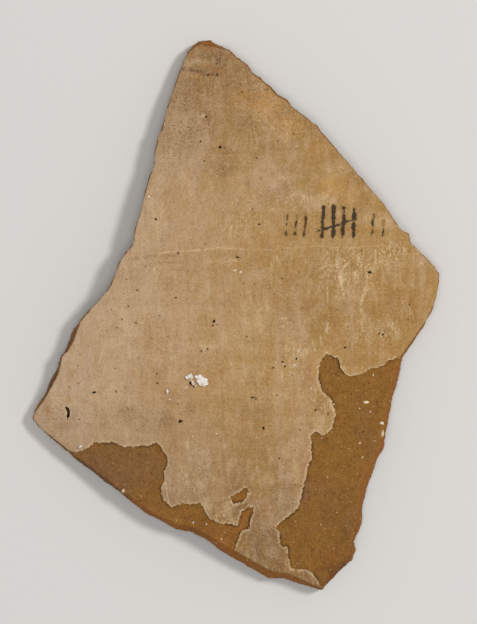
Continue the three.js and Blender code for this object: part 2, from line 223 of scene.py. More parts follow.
# Each lamp's name, direction, distance, size and power
LAMPS = (
    ("key", (0.42, 0.16, 0.89), 1.3, 0.22, 7.6),
    ("top", (-0.04, -0.08, 1.0), 1.5, 0.6, 6.8),
)

CRUSTS = ("lime_crust_large", "lime_crust_small", "lime_crust_spot", "lime_crust_margin_spot")
GRITS = (
    "limestone_grit_long", "limestone_grit_short", "limestone_grit_flat",
    "limestone_grit_round", "limestone_grit_left",
)
STAINED_GRIT = "limestone_grit_round"

# Marks in the slip, by pixel: x, y, half length, half width, turn in degrees and depth as a share
DENTS_PX = (
    (107, 331, 2.4, 1.6, 0, 0.3), (136.2, 323, 3.3, 1.2, -34, 0.42), (180.5, 420.8, 2.0, 1.8, 60, 1.0),
    (190.6, 383, 2.4, 1.2, -65, 1.0), (194.2, 386, 1.3, 1.2, 0, 1.0), (94.3, 392.3, 2.1, 1.3, 0, 1.0),
    (237.4, 257.4, 2.3, 1.1, -15, 0.6), (178, 253.4, 2.0, 1.4, 70, 0.48), (208, 74.7, 1.4, 1.0, 0, 0.6),
    (217, 74.7, 1.3, 1.0, 0, 0.7), (207.6, 348.6, 1.3, 0.9, 0, 0.8), (252.4, 397, 2.3, 1.2, -5, 0.6),
    (255.8, 398.4, 1.2, 0.8, 80, 0.7), (369.6, 272.4, 2.3, 1.2, -20, 1.0),
    (382.6, 334.6, 1.3, 1.1, 0, 1.0), (378.8, 333.6, 1.1, 0.9, 0, 0.6), (263.2, 427.5, 1.8, 1.0, 90, 1.0),
    (220, 147.6, 2.1, 1.2, 20, 1.0), (214, 321.2, 1.6, 1.4, 30, 1.0), (217.3, 324.6, 1.0, 0.8, 0, 0.5),
    (212.8, 325.6, 1.5, 0.9, 40, 0.6), (157.4, 383, 1.9, 1.1, 15, 0.5), (157, 373.6, 1.7, 1.0, 35, 0.5),
    (282.4, 362, 1.2, 1.1, 0, 0.9), (284.7, 366, 1.2, 0.9, 80, 0.9), (273, 367.5, 1.2, 0.9, 0, 0.9),
    (156, 219.3, 1.5, 1.1, -30, 0.9), (206.2, 117, 1.3, 1.1, 0, 0.7), (327.6, 413.8, 1.5, 0.8, 80, 0.6),
    (344.6, 347.4, 1.2, 1.1, 0, 0.8), (276.6, 395, 1.6, 0.9, 5, 0.5), (217.3, 59.5, 1.3, 1.0, 90, 0.5),
    (242, 92, 1.2, 1.1, 0, 0.5), (296, 358.5, 1.4, 1.0, 70, 0.8), (200.7, 141.5, 1.1, 1.0, 0, 0.8),
    (259, 224.8, 1.2, 1.0, 0, 0.9),
)

# Pale scratches and chips in the slip, by pixel: both ends
SCRATCHES_PX = (
    (204, 347.5, 216, 347.5), (200, 345.5, 204, 345.5), (234, 270.5, 236, 270.5),
    (239, 272.5, 242, 272.3), (280, 318.2, 286, 318.2), (280, 326.5, 286, 326.5), (103, 350, 99, 364),
    (140, 322, 144, 323), (375, 250, 375.5, 262), (374, 263, 372.5, 271), (392.5, 322, 392.5, 329),
    (340.5, 270, 343.5, 299), (327, 287, 327.3, 303), (346, 266, 349, 262), (367, 274, 367, 282),
    (365, 287, 360, 303), (187, 441, 187.5, 447), (166, 482, 169, 503), (329, 402, 333, 412),
    (326, 434, 332, 428), (269, 211, 273, 209), (293, 208.5, 296, 207), (230, 259.5, 236, 261),
    (276, 256, 278, 262), (345, 324, 350, 323), (363, 332, 366, 330), (319, 269, 326, 266),
    (418, 265, 424, 262), (171, 357, 171.5, 359), (188, 228, 189, 229), (156, 228.5, 159, 228.5),
    (141, 247, 145, 244), (135, 266, 140, 262), (153, 271, 158, 266), (184, 388, 187, 387),
    (282, 371, 282, 377), (346, 264, 339, 278), (339, 278, 342.5, 290), (367.5, 288, 360.5, 303),
    (360.5, 303, 361, 313), (320, 335, 321, 345), (314, 317, 316, 322), (327.5, 322, 327, 332),
    (312, 342, 315, 350), (297, 350, 299, 355), (362.5, 320, 362, 330), (391, 325, 393, 330),
    (271, 263, 272, 270), (208, 345.5, 212, 346),
)

# Lines along the slip, by pixel: kind, strength, half width in millimetres, and the points
LINES_PX = (
    ("scratch", 0.8, 0.42, ((156, 254.5), (172, 252), (186, 250.3), (200, 250))),
    ("scratch", 0.7, 0.40, ((205, 250), (218, 249), (231, 250.3))),
    ("scratch", 0.4, 0.32, ((231, 250.3), (262, 249), (298, 248), (340, 247), (400, 245))),
    ("scratch", 0.4, 0.30, ((206, 262), (231, 262))),
    ("dark", 0.6, 0.6, ((130, 259.5), (150, 257), (176, 255.8))),
    ("dark", 0.45, 0.5, ((142, 264.8), (160, 263.5), (176, 263))),
    ("soil", 1.5, 0.9, ((182, 69), (192, 69), (206, 71))),
    ("soil", 1.2, 0.8, ((205, 74), (219, 74.5))),
    ("ochre", 1.2, 1.4, ((184, 74), (204, 75))),
    ("pale", 0.5, 1.2, ((187, 63), (196, 60), (206, 62))),
    ("worn", 0.5, 1.2, ((207, 67), (222, 72))),
    ("ochre", 1.0, 0.7, ((286, 185.5), (306, 185.8))),
    ("ochre", 0.9, 0.7, ((237, 170), (233, 180), (230, 190))),
    ("ochre", 0.8, 0.8, ((256, 80), (270, 90), (284, 103))),
)

# Stains on the slip, by kind and by pixel: x, y, half width, half height and strength
STAINS_PX = {
    "pink": (
        (286, 325, 15, 26, 0.6), (52, 396, 20, 44, 0.9), (176, 350, 22, 16, 0.6), (120, 350, 34, 46, 0.3),
        (200, 470, 44, 34, 0.45), (262, 545, 30, 28, 0.2), (300, 440, 18, 44, 0.15),
        (150, 300, 20, 34, 0.5), (268, 180, 34, 22, 0.7), (350, 300, 24, 30, 0.5),
        (230, 200, 26, 22, 0.5), (170, 240, 24, 30, 0.5), (250, 205, 30, 12, 0.6),
        (190, 182, 12, 14, 0.6), (300, 502, 12, 18, 0.4), (286, 474, 12, 14, 0.8),
    ),
    "ochre": (
        (305, 150, 44, 46, 0.4), (302, 464, 14, 34, 1.1), (308, 187, 30, 5, 1.0), (404, 305, 26, 34, 0.7),
        (290, 380, 30, 26, 0.6), (215, 400, 40, 22, 0.5), (225, 290, 30, 50, 0.4),
        (170, 395, 24, 20, 0.5), (265, 330, 26, 40, 0.4), (240, 80, 20, 16, 0.6), (350, 340, 26, 12, 0.6),
        (325, 160, 18, 16, 0.5), (205, 320, 16, 30, 0.4), (202, 75, 22, 5, 0.8), (69, 400, 5, 4, 1.0),
        (205, 100, 44, 46, 0.3), (326, 330, 14, 60, 0.4), (376, 318, 34, 26, 0.5),
    ),
    "dark": (
        (190, 134, 18, 16, 0.75), (287, 188, 12, 10, 0.4), (203, 470, 14, 18, 0.6),
        (189, 410, 12, 10, 0.4), (252, 540, 8, 12, 0.35), (343, 272, 10, 10, 0.3),
        (385, 328, 12, 12, 0.3), (310, 300, 70, 70, 0.26), (212, 56, 22, 12, 0.5), (224, 63, 8, 8, 0.8),
        (167, 418, 10, 12, 0.7), (221, 171, 9, 9, 0.7), (128, 416, 16, 20, 0.45), (240, 86, 24, 14, 0.4),
        (248, 184, 4, 8, 0.3), (176, 150, 20, 24, 0.35), (277, 198, 16, 14, 0.3),
        (400, 306, 34, 40, 0.16), (172, 422, 12, 8, 0.5), (218, 168, 22, 14, 0.5),
        (262, 570, 20, 14, 0.3), (252, 412, 22, 12, 0.4), (150, 420, 26, 18, 0.4),
        (206, 118, 14, 12, 0.45), (160, 372, 10, 12, 0.4), (250, 512, 26, 18, 0.4),
        (267, 527, 12, 12, 0.7), (226, 150, 10, 8, 0.4), (60, 418, 20, 22, 0.4), (170, 398, 12, 12, 0.35),
        (190, 96, 26, 34, 0.4), (168, 142, 16, 40, 0.45), (262, 545, 22, 26, 0.35),
        (324, 404, 12, 14, 0.3),
    ),
    "pale": (
        (335, 170, 18, 14, 0.5), (256, 318, 30, 34, 0.45), (217, 496, 12, 12, 0.5),
        (245, 161, 10, 10, 0.4), (256, 371, 12, 12, 0.4), (368, 216, 10, 14, 0.4),
        (238, 372, 16, 14, 0.4), (287, 450, 12, 14, 0.5), (286, 425, 12, 10, 0.35),
        (245, 256, 12, 9, 0.4), (266, 480, 12, 14, 0.5), (225, 508, 14, 10, 0.6), (271, 552, 10, 9, 0.5),
        (240, 184, 14, 14, 0.5), (203, 116, 4, 4, 0.9), (245, 340, 26, 22, 0.35),
        (284, 386, 20, 30, 0.45), (208, 504, 12, 13, 0.75), (220, 484, 12, 10, 0.25),
        (318, 424, 18, 16, 0.3), (104, 396, 26, 20, 0.25), (124, 318, 22, 16, 0.3),
        (186, 190, 16, 20, 0.35), (322, 202, 18, 12, 0.5), (384, 222, 14, 12, 0.7),
        (152, 236, 14, 18, 0.3), (124, 428, 14, 12, 0.25),
    ),
    "scuffed": (
        (296, 352, 18, 14, 1.0), (300, 366, 16, 16, 0.7), (350, 268, 46, 34, 1.0),
        (392, 252, 26, 22, 1.0), (378, 330, 40, 18, 0.7), (300, 200, 22, 10, 1.0),
        (240, 225, 36, 18, 0.7), (128, 345, 26, 30, 0.5), (210, 348, 26, 12, 0.6),
        (320, 395, 18, 26, 0.9), (300, 470, 14, 40, 0.3), (265, 130, 40, 30, 0.4), (55, 400, 14, 40, 0.7),
        (190, 480, 30, 20, 0.5), (158, 210, 20, 34, 0.5), (225, 520, 20, 12, 0.7),
    ),
    "worn": (
        (310, 376, 9, 24, 0.55), (303, 464, 10, 28, 0.55), (318, 404, 8, 8, 0.3), (206, 45, 17, 8, 1.0),
        (193, 53, 6, 9, 0.8), (228, 56, 5, 5, 0.7), (190, 60, 5, 5, 0.4), (296, 490, 9, 10, 0.3),
        (221, 371, 3, 2.4, 0.7), (411, 301, 5, 4, 0.5), (333, 279, 3, 3, 0.4), (48, 408, 5, 18, 0.35),
        (174, 474, 6, 8, 0.25), (322, 412, 3, 6, 0.3),
    ),
    "warm": (
        (302, 462, 13, 34, 0.4), (314, 366, 10, 14, 0.6), (268, 104, 24, 26, 0.9), (246, 98, 24, 20, 0.7),
        (286, 128, 24, 22, 0.8), (352, 196, 10, 14, 0.5), (316, 150, 20, 16, 0.4),
        (332, 186, 18, 20, 1.0),
    ),
    "soil": (
        (262, 558, 50, 50, 0.26),
    ),
}

# Tints of the bare clay, by kind and by pixel: x, y, half width, half height and strength. The dusky tint
# also darkens the broken faces as painted shade, and the last kind is soil and painted shade
CLAY_TINTS_PX = {
    "dusky_and_shaded": (
        (128, 468, 62, 36, 0.8), (60, 372, 34, 70, 0.9), (140, 210, 40, 130, 0.6),
        (372, 500, 14, 30, 0.3), (328, 496, 22, 40, 0.3), (306, 490, 9, 26, 0.9), (110, 484, 40, 30, 1.0),
        (90, 470, 44, 36, 1.0), (350, 520, 14, 26, 0.3),
    ),
    "orange": (
        (215, 534, 62, 22, 0.65), (180, 512, 30, 16, 0.15), (398, 386, 9, 34, 1.0),
        (364, 478, 9, 28, 0.35), (340, 566, 26, 24, 0.75), (244, 505, 18, 26, 0.6),
        (392, 370, 14, 8, 0.4),
    ),
    "soiled": (
        (340, 572, 34, 30, 0.62), (344, 545, 20, 24, 0.3), (340, 515, 30, 40, 0.14),
        (205, 527, 34, 18, 0.3), (231, 537, 12, 10, 0.35), (370, 440, 14, 30, 0.08),
    ),
}

# Specks of lime, by pixel: x, y and radius
LIME_SPECKS_PX = (
    (191.6, 379.4, 1.0), (192.8, 381.6, 1.1), (193.6, 383.6, 0.9), (195.6, 385.6, 0.9), (187, 387, 0.7),
    (81, 446, 1.0), (149, 197, 0.8), (221.5, 538.5, 0.9), (216.5, 543, 0.8), (193.5, 522, 0.8),
    (206.5, 523.5, 0.7), (294, 365, 1.2), (383, 424, 0.7), (385.5, 434, 0.6), (362.5, 457, 0.7),
    (170, 399, 0.7), (299, 350, 0.9), (235, 270.5, 0.9), (240.6, 272.4, 1.0), (216.5, 433, 0.8),
    (370, 411.5, 0.8), (373, 375, 0.7), (333.4, 404, 0.7), (283, 363.5, 0.8), (276, 362, 0.6),
    (290, 372, 0.7), (286, 355, 0.6), (303, 378, 0.6), (311, 388, 0.7),
)

# Tally strokes, by pixel: x and y of the upper end, x and y of the lower end, and the width's share
TALLY_STROKES_PX = (
    (287, 214, 285, 239, 0.95), (297, 213, 294, 240, 1.0), (306, 212, 304, 241, 1.05),
    (324, 205, 321, 242, 1.15), (334, 204, 332, 242, 1.2), (344, 205, 342, 241, 1.2),
    (354, 206, 353, 242, 1.15), (315, 232, 362, 217, 1.05), (374, 213, 371, 239, 1.0),
    (384, 219, 382, 239, 0.95),
)


def linear(red, green, blue):
    """A colour given in display values from 0 to 255, as the scene's linear values."""
    shares = (value / 255 for value in (red, green, blue))
    return tuple(s / 12.92 if s <= 0.04045 else ((s + 0.055) / 1.055) ** 2.4 for s in shares)


def spot(x_px, y_px):
    """A pixel of the photograph as x and y on the sherd."""
    return ((x_px - ORIGIN_PX[0]) * PIXEL, (ORIGIN_PX[1] - y_px) * PIXEL)


def shade(colour, share):
    """A darker colour, by a share."""
    return tuple(share * value for value in colour)


def length(name, description, value):
    return bpy.props.FloatProperty(name=name, description=description, default=value, min=0, unit="LENGTH")


def colour(name, description, display):
    return bpy.props.FloatVectorProperty(
        name=name, description=description, default=linear(*display), size=3, min=0, max=1, subtype="COLOR",
    )


class OstraconSizes(bpy.types.PropertyGroup):
    """The sizes of the detail on the sherd."""

    clay_detail: length("Clay detail", "Side of the clay's facets", 0.36 * MM)
    slip_detail: length("Slip detail", "Side of the slip's facets", 0.34 * MM)
    break_relief: length("Break relief", "Depth of the roughness on the broken faces", 0.42 * MM)
    skin_relief: length("Skin relief", "Depth of the grain on the bare clay", 0.14 * MM)
    slip_relief: length("Slip relief", "Depth of the wiping and undulation of the slip", 0.05 * MM)
    margin_wander: length("Margin wander", "How far the flaked edge wanders", 0.30 * MM)
    margin_step: length("Margin step", "Distance between the points of the flaked edge", 0.2 * MM)
    pit_depth: length("Pit depth", "Depth of the pinholes in the slip", 0.5 * MM)
    void_depth: length("Void depth", "How far the straw's void goes on into the clay", 1.4 * MM)
    grain_radius: length("Grain radius", "Radius of the largest temper grain", 0.24 * MM)
    stroke_width: length("Stroke width", "Width of a brush stroke", 1.15 * MM)
    film_thickness: length("Film thickness", "Thickness of the ink on the slip", 0.05 * MM)
    grains_per_mm2: bpy.props.FloatProperty(
        name="Grain count", description="Temper grains on each square millimetre of bare clay",
        default=0.22, min=0,
    )


class OstraconColours(bpy.types.PropertyGroup):
    """The colours of the sherd and of what it lies on."""

    slip: colour("Slip", "The slip's usual buff", (171, 134, 87))
    slip_pink: colour("Pinkish slip", "Where the slip is thin over the red clay", (190, 160, 129))
    slip_ochre: colour("Ochre slip", "Where the slip is stained yellow", (160, 120, 62))
    slip_warm: colour("Warm slip", "Where the slip is clean and a little orange", (194, 145, 84))
    # The pale slip also paints the highlight along the flaked edge
    slip_pale: colour("Pale slip", "Scratches and the rim of the flaked edge", (212, 184, 144))
    scratch: colour("Scratched slip", "Fresh scratches and chips in the slip", (218, 192, 150))
    # The dark slip is also laid over both ends of the face as painted shade
    slip_dark: colour("Dark slip", "Soil rubbed into the slip", (114, 82, 48))
    clay: colour("Clay", "The bare outer clay", (138, 96, 42))
    # The dark clay is also the painted shade in pits, in the straw's void, in the stones' hollows and on
    # broken faces
    clay_dark: colour("Dark clay", "Hollows of the bare clay", (88, 58, 30))
    clay_red: colour("Red clay", "Redder patches of the clay", (133, 96, 66))
    fracture: colour("Broken clay", "The broken faces", (168, 106, 50))
    lime: colour("Lime", "Burial lime", (232, 226, 220))
    grit: colour("Limestone", "Pale grains in the clay", (238, 222, 190))
    ink: colour("Ink", "Carbon ink", (52, 43, 33))
    floor: colour("Floor", "What the sherd lies on", (214, 212, 208))


class Skin:
    """A smooth height over x and y, fitted to points of one face of the wall."""

    def __init__(self, points, ridge_pitch=None):
        self.ridge_pitch = ridge_pitch
        kept = np.ones(len(points), bool)
        for _ in range(SKIN_FITS):
            terms = self.terms(points[kept, 0], points[kept, 1])
            self.factors = np.linalg.lstsq(terms, points[kept, 2], rcond=None)[0]
            kept = np.abs(self.height(points[:, 0], points[:, 1]) - points[:, 2]) < SKIN_FIT

    def terms(self, x, y):
        u, v = x / SKIN_REACH, y / SKIN_REACH
        columns = [u ** i * v ** j for i in range(SKIN_POWERS) for j in range(SKIN_POWERS - i)]
        if self.ridge_pitch:
            turn = 2 * np.pi * y / self.ridge_pitch
            columns += [np.cos(turn), np.sin(turn)]
        return np.stack(columns, axis=-1)

    def height(self, x, y):
        return self.terms(np.asarray(x, float), np.asarray(y, float)) @ self.factors


def merged(name):
    """A CAD node's mesh with its corners joined, as a bmesh. The node itself stays as it is."""
    bm = bmesh.new()
    bm.from_mesh(frame["nodes"][name].data)
    bmesh.ops.remove_doubles(bm, verts=bm.verts, dist=0.001 * MM)
    bm.verts.index_update()
    bm.faces.index_update()
    bm.normal_update()
    return bm


def skin_of(bm, side, ridge_pitch=None):
    """The skin through the faces that look up, for side 1, or down, for side -1."""
    corners = {v for f in bm.faces if side * f.normal.z > FACES_UP for v in f.verts}
    points = np.array([v.co[:] for v in corners if v.co.z > RESTING_HEIGHT])
    return Skin(points, ridge_pitch)


def outlines(bm, skin):
    """Closed outlines of the faces that lie on a skin, each with the faces on its left."""
    places = np.array([v.co[:] for v in bm.verts])
    on_skin = np.abs(places[:, 2] - skin.height(places[:, 0], places[:, 1])) < ON_SKIN
    chosen = {f for f in bm.faces if all(on_skin[v.index] for v in f.verts)}
    ahead = {}
    for face in chosen:
        for corner in face.loops:
            if corner.link_loop_radial_next.face not in chosen:
                ahead.setdefault(corner.vert.index, []).append(corner.link_loop_next.vert.index)
    rings = []
    for start in sorted(ahead):
        while ahead[start]:
            ring = []
            here = start
            while ahead[here]:
                ring.append(here)
                here = ahead[here].pop()
            rings.append(places[ring, :2])
    return rings


def enclosed(ring):
    """The area that an outline goes round."""
    x, y = ring.T
    return abs(np.dot(x, np.roll(y, -1)) - np.dot(y, np.roll(x, -1))) / 2


def resampled(ring, step):
    """Points at even distances round a closed outline."""
    ends = np.vstack([ring, ring[:1]])
    along = np.concatenate([[0], np.cumsum(np.linalg.norm(np.diff(ends, axis=0), axis=1))])
    marks = np.linspace(0, along[-1], max(8, round(along[-1] / step)), endpoint=False)
    return np.stack([np.interp(marks, along, ends[:, k]) for k in (0, 1)], axis=1)


def rough(points, size, octaves, seed):
    """Fractal noise, about -1 to 1, with features of a size. Points may be x, y or x, y, z."""
    shift = Vector((7.3 * seed, 1.7 * seed, 3.1 * seed))
    scaled = np.zeros((len(points), 3))
    scaled[:, :points.shape[1]] = points / np.asarray(size)
    return np.array([noise.fractal(Vector(p) + shift, 1.0, 2.0, octaves) for p in scaled.tolist()])


def wandered(ring, amount, seed, lean=0.0):
    """An outline whose points are moved across it by a noise, a lean to its left and an amount for each."""
    along = np.roll(ring, -1, axis=0) - np.roll(ring, 1, axis=0)
    along /= np.linalg.norm(along, axis=1)[:, None]
    inward = np.stack([-along[:, 1], along[:, 0]], axis=1)
    wave = rough(ring, 2.4 * MM, 3, seed) + 0.9 * rough(ring, 0.62 * MM, 2, seed + 1)
    return ring + inward * (amount * (wave + lean))[:, None]


def nearest(points, targets):
    """The distance from each point to the nearest target, seen from above."""
    tree = kdtree.KDTree(len(targets))
    for i, (x, y) in enumerate(targets.tolist()):
        tree.insert((x, y, 0), i)
    tree.balance()
    return np.array([tree.find((x, y, 0))[2] for x, y in points[:, :2].tolist()])


def grid_inside(rings, step, clearance, rng):
    """Points of an uneven triangular grid inside outlines, kept clear of them."""
    sides = np.concatenate([np.hstack([ring, np.roll(ring, -1, axis=0)]) for ring in rings])
    rows = np.arange(sides[:, 1].min(), sides[:, 1].max(), step * math.sqrt(3) / 2)
    points = []
    for k, y in enumerate(rows):
        cut = sides[(sides[:, 1] <= y) != (sides[:, 3] <= y)]
        ends = np.sort(cut[:, 0] + (y - cut[:, 1]) / (cut[:, 3] - cut[:, 1]) * (cut[:, 2] - cut[:, 0]))
        for start, end in ends.reshape(-1, 2):
            x = np.arange(math.ceil(start / step) + k % 2 / 2, end / step) * step
            points.append(np.stack([x, np.full_like(x, y)], axis=1))
    points = np.concatenate(points)
    points += rng.uniform(-0.16, 0.16, points.shape) * step
    return points[nearest(points, np.concatenate(rings)) > clearance]


def within(points, ring):
    """Whether each point lies inside an outline."""
    x, y = points[:, 0], points[:, 1]
    inside = np.zeros(len(points), bool)
    for (x0, y0), (x1, y1) in zip(ring, np.roll(ring, -1, axis=0)):
        if y0 != y1:
            inside ^= ((y0 <= y) != (y1 <= y)) & (x < x0 + (y - y0) / (y1 - y0) * (x1 - x0))
    return inside


def sides_of(rings):
    """The sides of several outlines, as pairs of places in the row of all their points."""
    sides = []
    for ring in rings:
        first, count = len(sides), len(ring)
        sides += [(first + i, first + (i + 1) % count) for i in range(count)]
    return sides


def sheet(rings, inner):
    """Triangles between outlines, through the points inside them."""
    points = np.concatenate([*rings, inner])
    made = geometry.delaunay_2d_cdt([Vector(p) for p in points.tolist()], sides_of(rings), [], 1, 1e-9)
    corners, faces, sources = made[0], made[2], made[3]
    if len(corners) != len(points) or any(len(s) != 1 for s in sources):
        raise RuntimeError(f"an outline crosses itself: {len(corners)} corners from {len(points)}")
    faces = np.array([[sources[i][0] for i in face] for face in faces])
    middles = points[faces].mean(axis=1)
    for hole in sorted(rings, key=enclosed)[:-1]:
        keep = ~within(middles, hole)
        faces, middles = faces[keep], middles[keep]
    return points, faces


def linked(name, data):
    """A new object in the scene."""
    made = bpy.data.objects.new(name, data)
    bpy.context.scene.collection.objects.link(made)
    return made


def new_piece(name, mesh, material, stands_for=()):
    """A finished piece on the body, at the origin, with its material and its place in its mesh."""
    mesh.name = name
    mesh.materials.clear()
    mesh.materials.append(material)
    mesh.shade_smooth()
    piece = linked(name, mesh)
    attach(piece, "root")
    if stands_for:
        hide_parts(*stands_for)


def evaluated_mesh(carrier):
    """The carrier's mesh with its modifiers made real. The carrier and its modifiers go."""
    depsgraph = bpy.context.evaluated_depsgraph_get()
    made = bpy.data.meshes.new_from_object(carrier.evaluated_get(depsgraph), depsgraph=depsgraph)
    carrier.modifiers.clear()
    bpy.data.objects.remove(carrier)
    return made


def mesh_of(bm, name):
    """The mesh of a bmesh. The bmesh goes."""
    mesh = bpy.data.meshes.new(name)
    bm.to_mesh(mesh)
    bm.free()
    return mesh


def remeshed(bm, facet):
    """A closed mesh with even facets over every solid in a bmesh."""
    carrier = linked("carrier", mesh_of(bm, "solid"))
    modifier = carrier.modifiers.new("Facets", "REMESH")
    modifier.mode = "VOXEL"
    modifier.voxel_size = facet
    return evaluated_mesh(carrier)


def read(layer, field):
    """A vector for each item of a mesh's layer."""
    flat = np.empty(len(layer) * 3, np.float32)
    layer.foreach_get(field, flat)
    return flat.reshape(-1, 3).astype(float)


def read_points(mesh):
    return read(mesh.vertices, "co")


def read_normals(mesh):
    return read(mesh.vertex_normals, "vector")


def write_points(mesh, points):
    """Give a mesh its points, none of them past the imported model's box."""
    mesh.vertices.foreach_set("co", np.clip(points, BOX_LOW, BOX_HIGH).astype(np.float32).ravel())
    mesh.update()


def store(mesh, name, *parts):
    """One number or three for each point of a mesh, for a material or a node tree to read."""
    kind, field = ("FLOAT", "value") if len(parts) == 1 else ("FLOAT_VECTOR", "vector")
    layer = mesh.attributes.new(name, kind, "POINT")
    layer.data.foreach_set(field, np.stack(parts, axis=1).astype(np.float32).ravel())


def eased(value, start, end):
    """0 before start, 1 after end, and a smooth rise between them."""
    share = np.clip((value - start) / (end - start), 0, 1)
    return share * share * (3 - 2 * share)


def patch(points, x_px, y_px, half_width, half_height):
    """1 in the middle of a soft oval patch, 0 outside it."""
    centre = np.array(spot(x_px, y_px))
    reach = (points[:, :2] - centre) / (np.array([half_width, half_height]) * PIXEL)
    return 1 - eased(np.linalg.norm(reach, axis=1), 0.25, 1.0)


def stains(points, table):
    """The strength of each kind of stain at each point, from a table of patches."""
    found = {}
    for kind, patches in table.items():
        found[kind] = np.zeros(len(points))
        for *place, strength in patches:
            found[kind] = np.maximum(found[kind], strength * patch(points, *place))
    return found


def drawn_in(points, shift_px):
    """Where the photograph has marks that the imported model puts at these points."""
    centre = np.array(spot(FRAME_WIDTH_PX / 2, FRAME_HEIGHT_PX / 2))
    return centre + (points - centre) * DRAWN_IN + np.array([shift_px[0], -shift_px[1]]) * PIXEL


def along_line(points, start, end, half_width):
    """1 on a line between two pixels, 0 at half a width from it."""
    a, b = np.array(spot(*start)), np.array(spot(*end))
    share = np.clip(((points[:, :2] - a) @ (b - a)) / ((b - a) @ (b - a)), 0, 1)
    distance = np.linalg.norm(points[:, :2] - a - share[:, None] * (b - a), axis=1)
    return 1 - eased(distance, 0, half_width)


class Wall:
    """The skins and outlines of the sherd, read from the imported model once."""

    def __init__(self):
        slip = merged("outer_slip")
        clay = merged("clay_body")
        self.slip_skin = skin_of(slip, 1)
        self.clay_skin = skin_of(clay, 1)
        self.inner_skin = skin_of(clay, -1, RIDGE_PITCH)
        rings = outlines(slip, self.slip_skin)
        self.slip_rings = [ring for ring in rings if enclosed(ring) > PINHOLE_AREA]
        self.pinholes = [
            (ring.mean(axis=0), math.sqrt(enclosed(ring) / math.pi))
            for ring in rings if enclosed(ring) <= PINHOLE_AREA
        ]
        self.clay_ring = max(outlines(clay, self.clay_skin), key=enclosed)
        slip.free()
        clay.free()


wall = Wall()


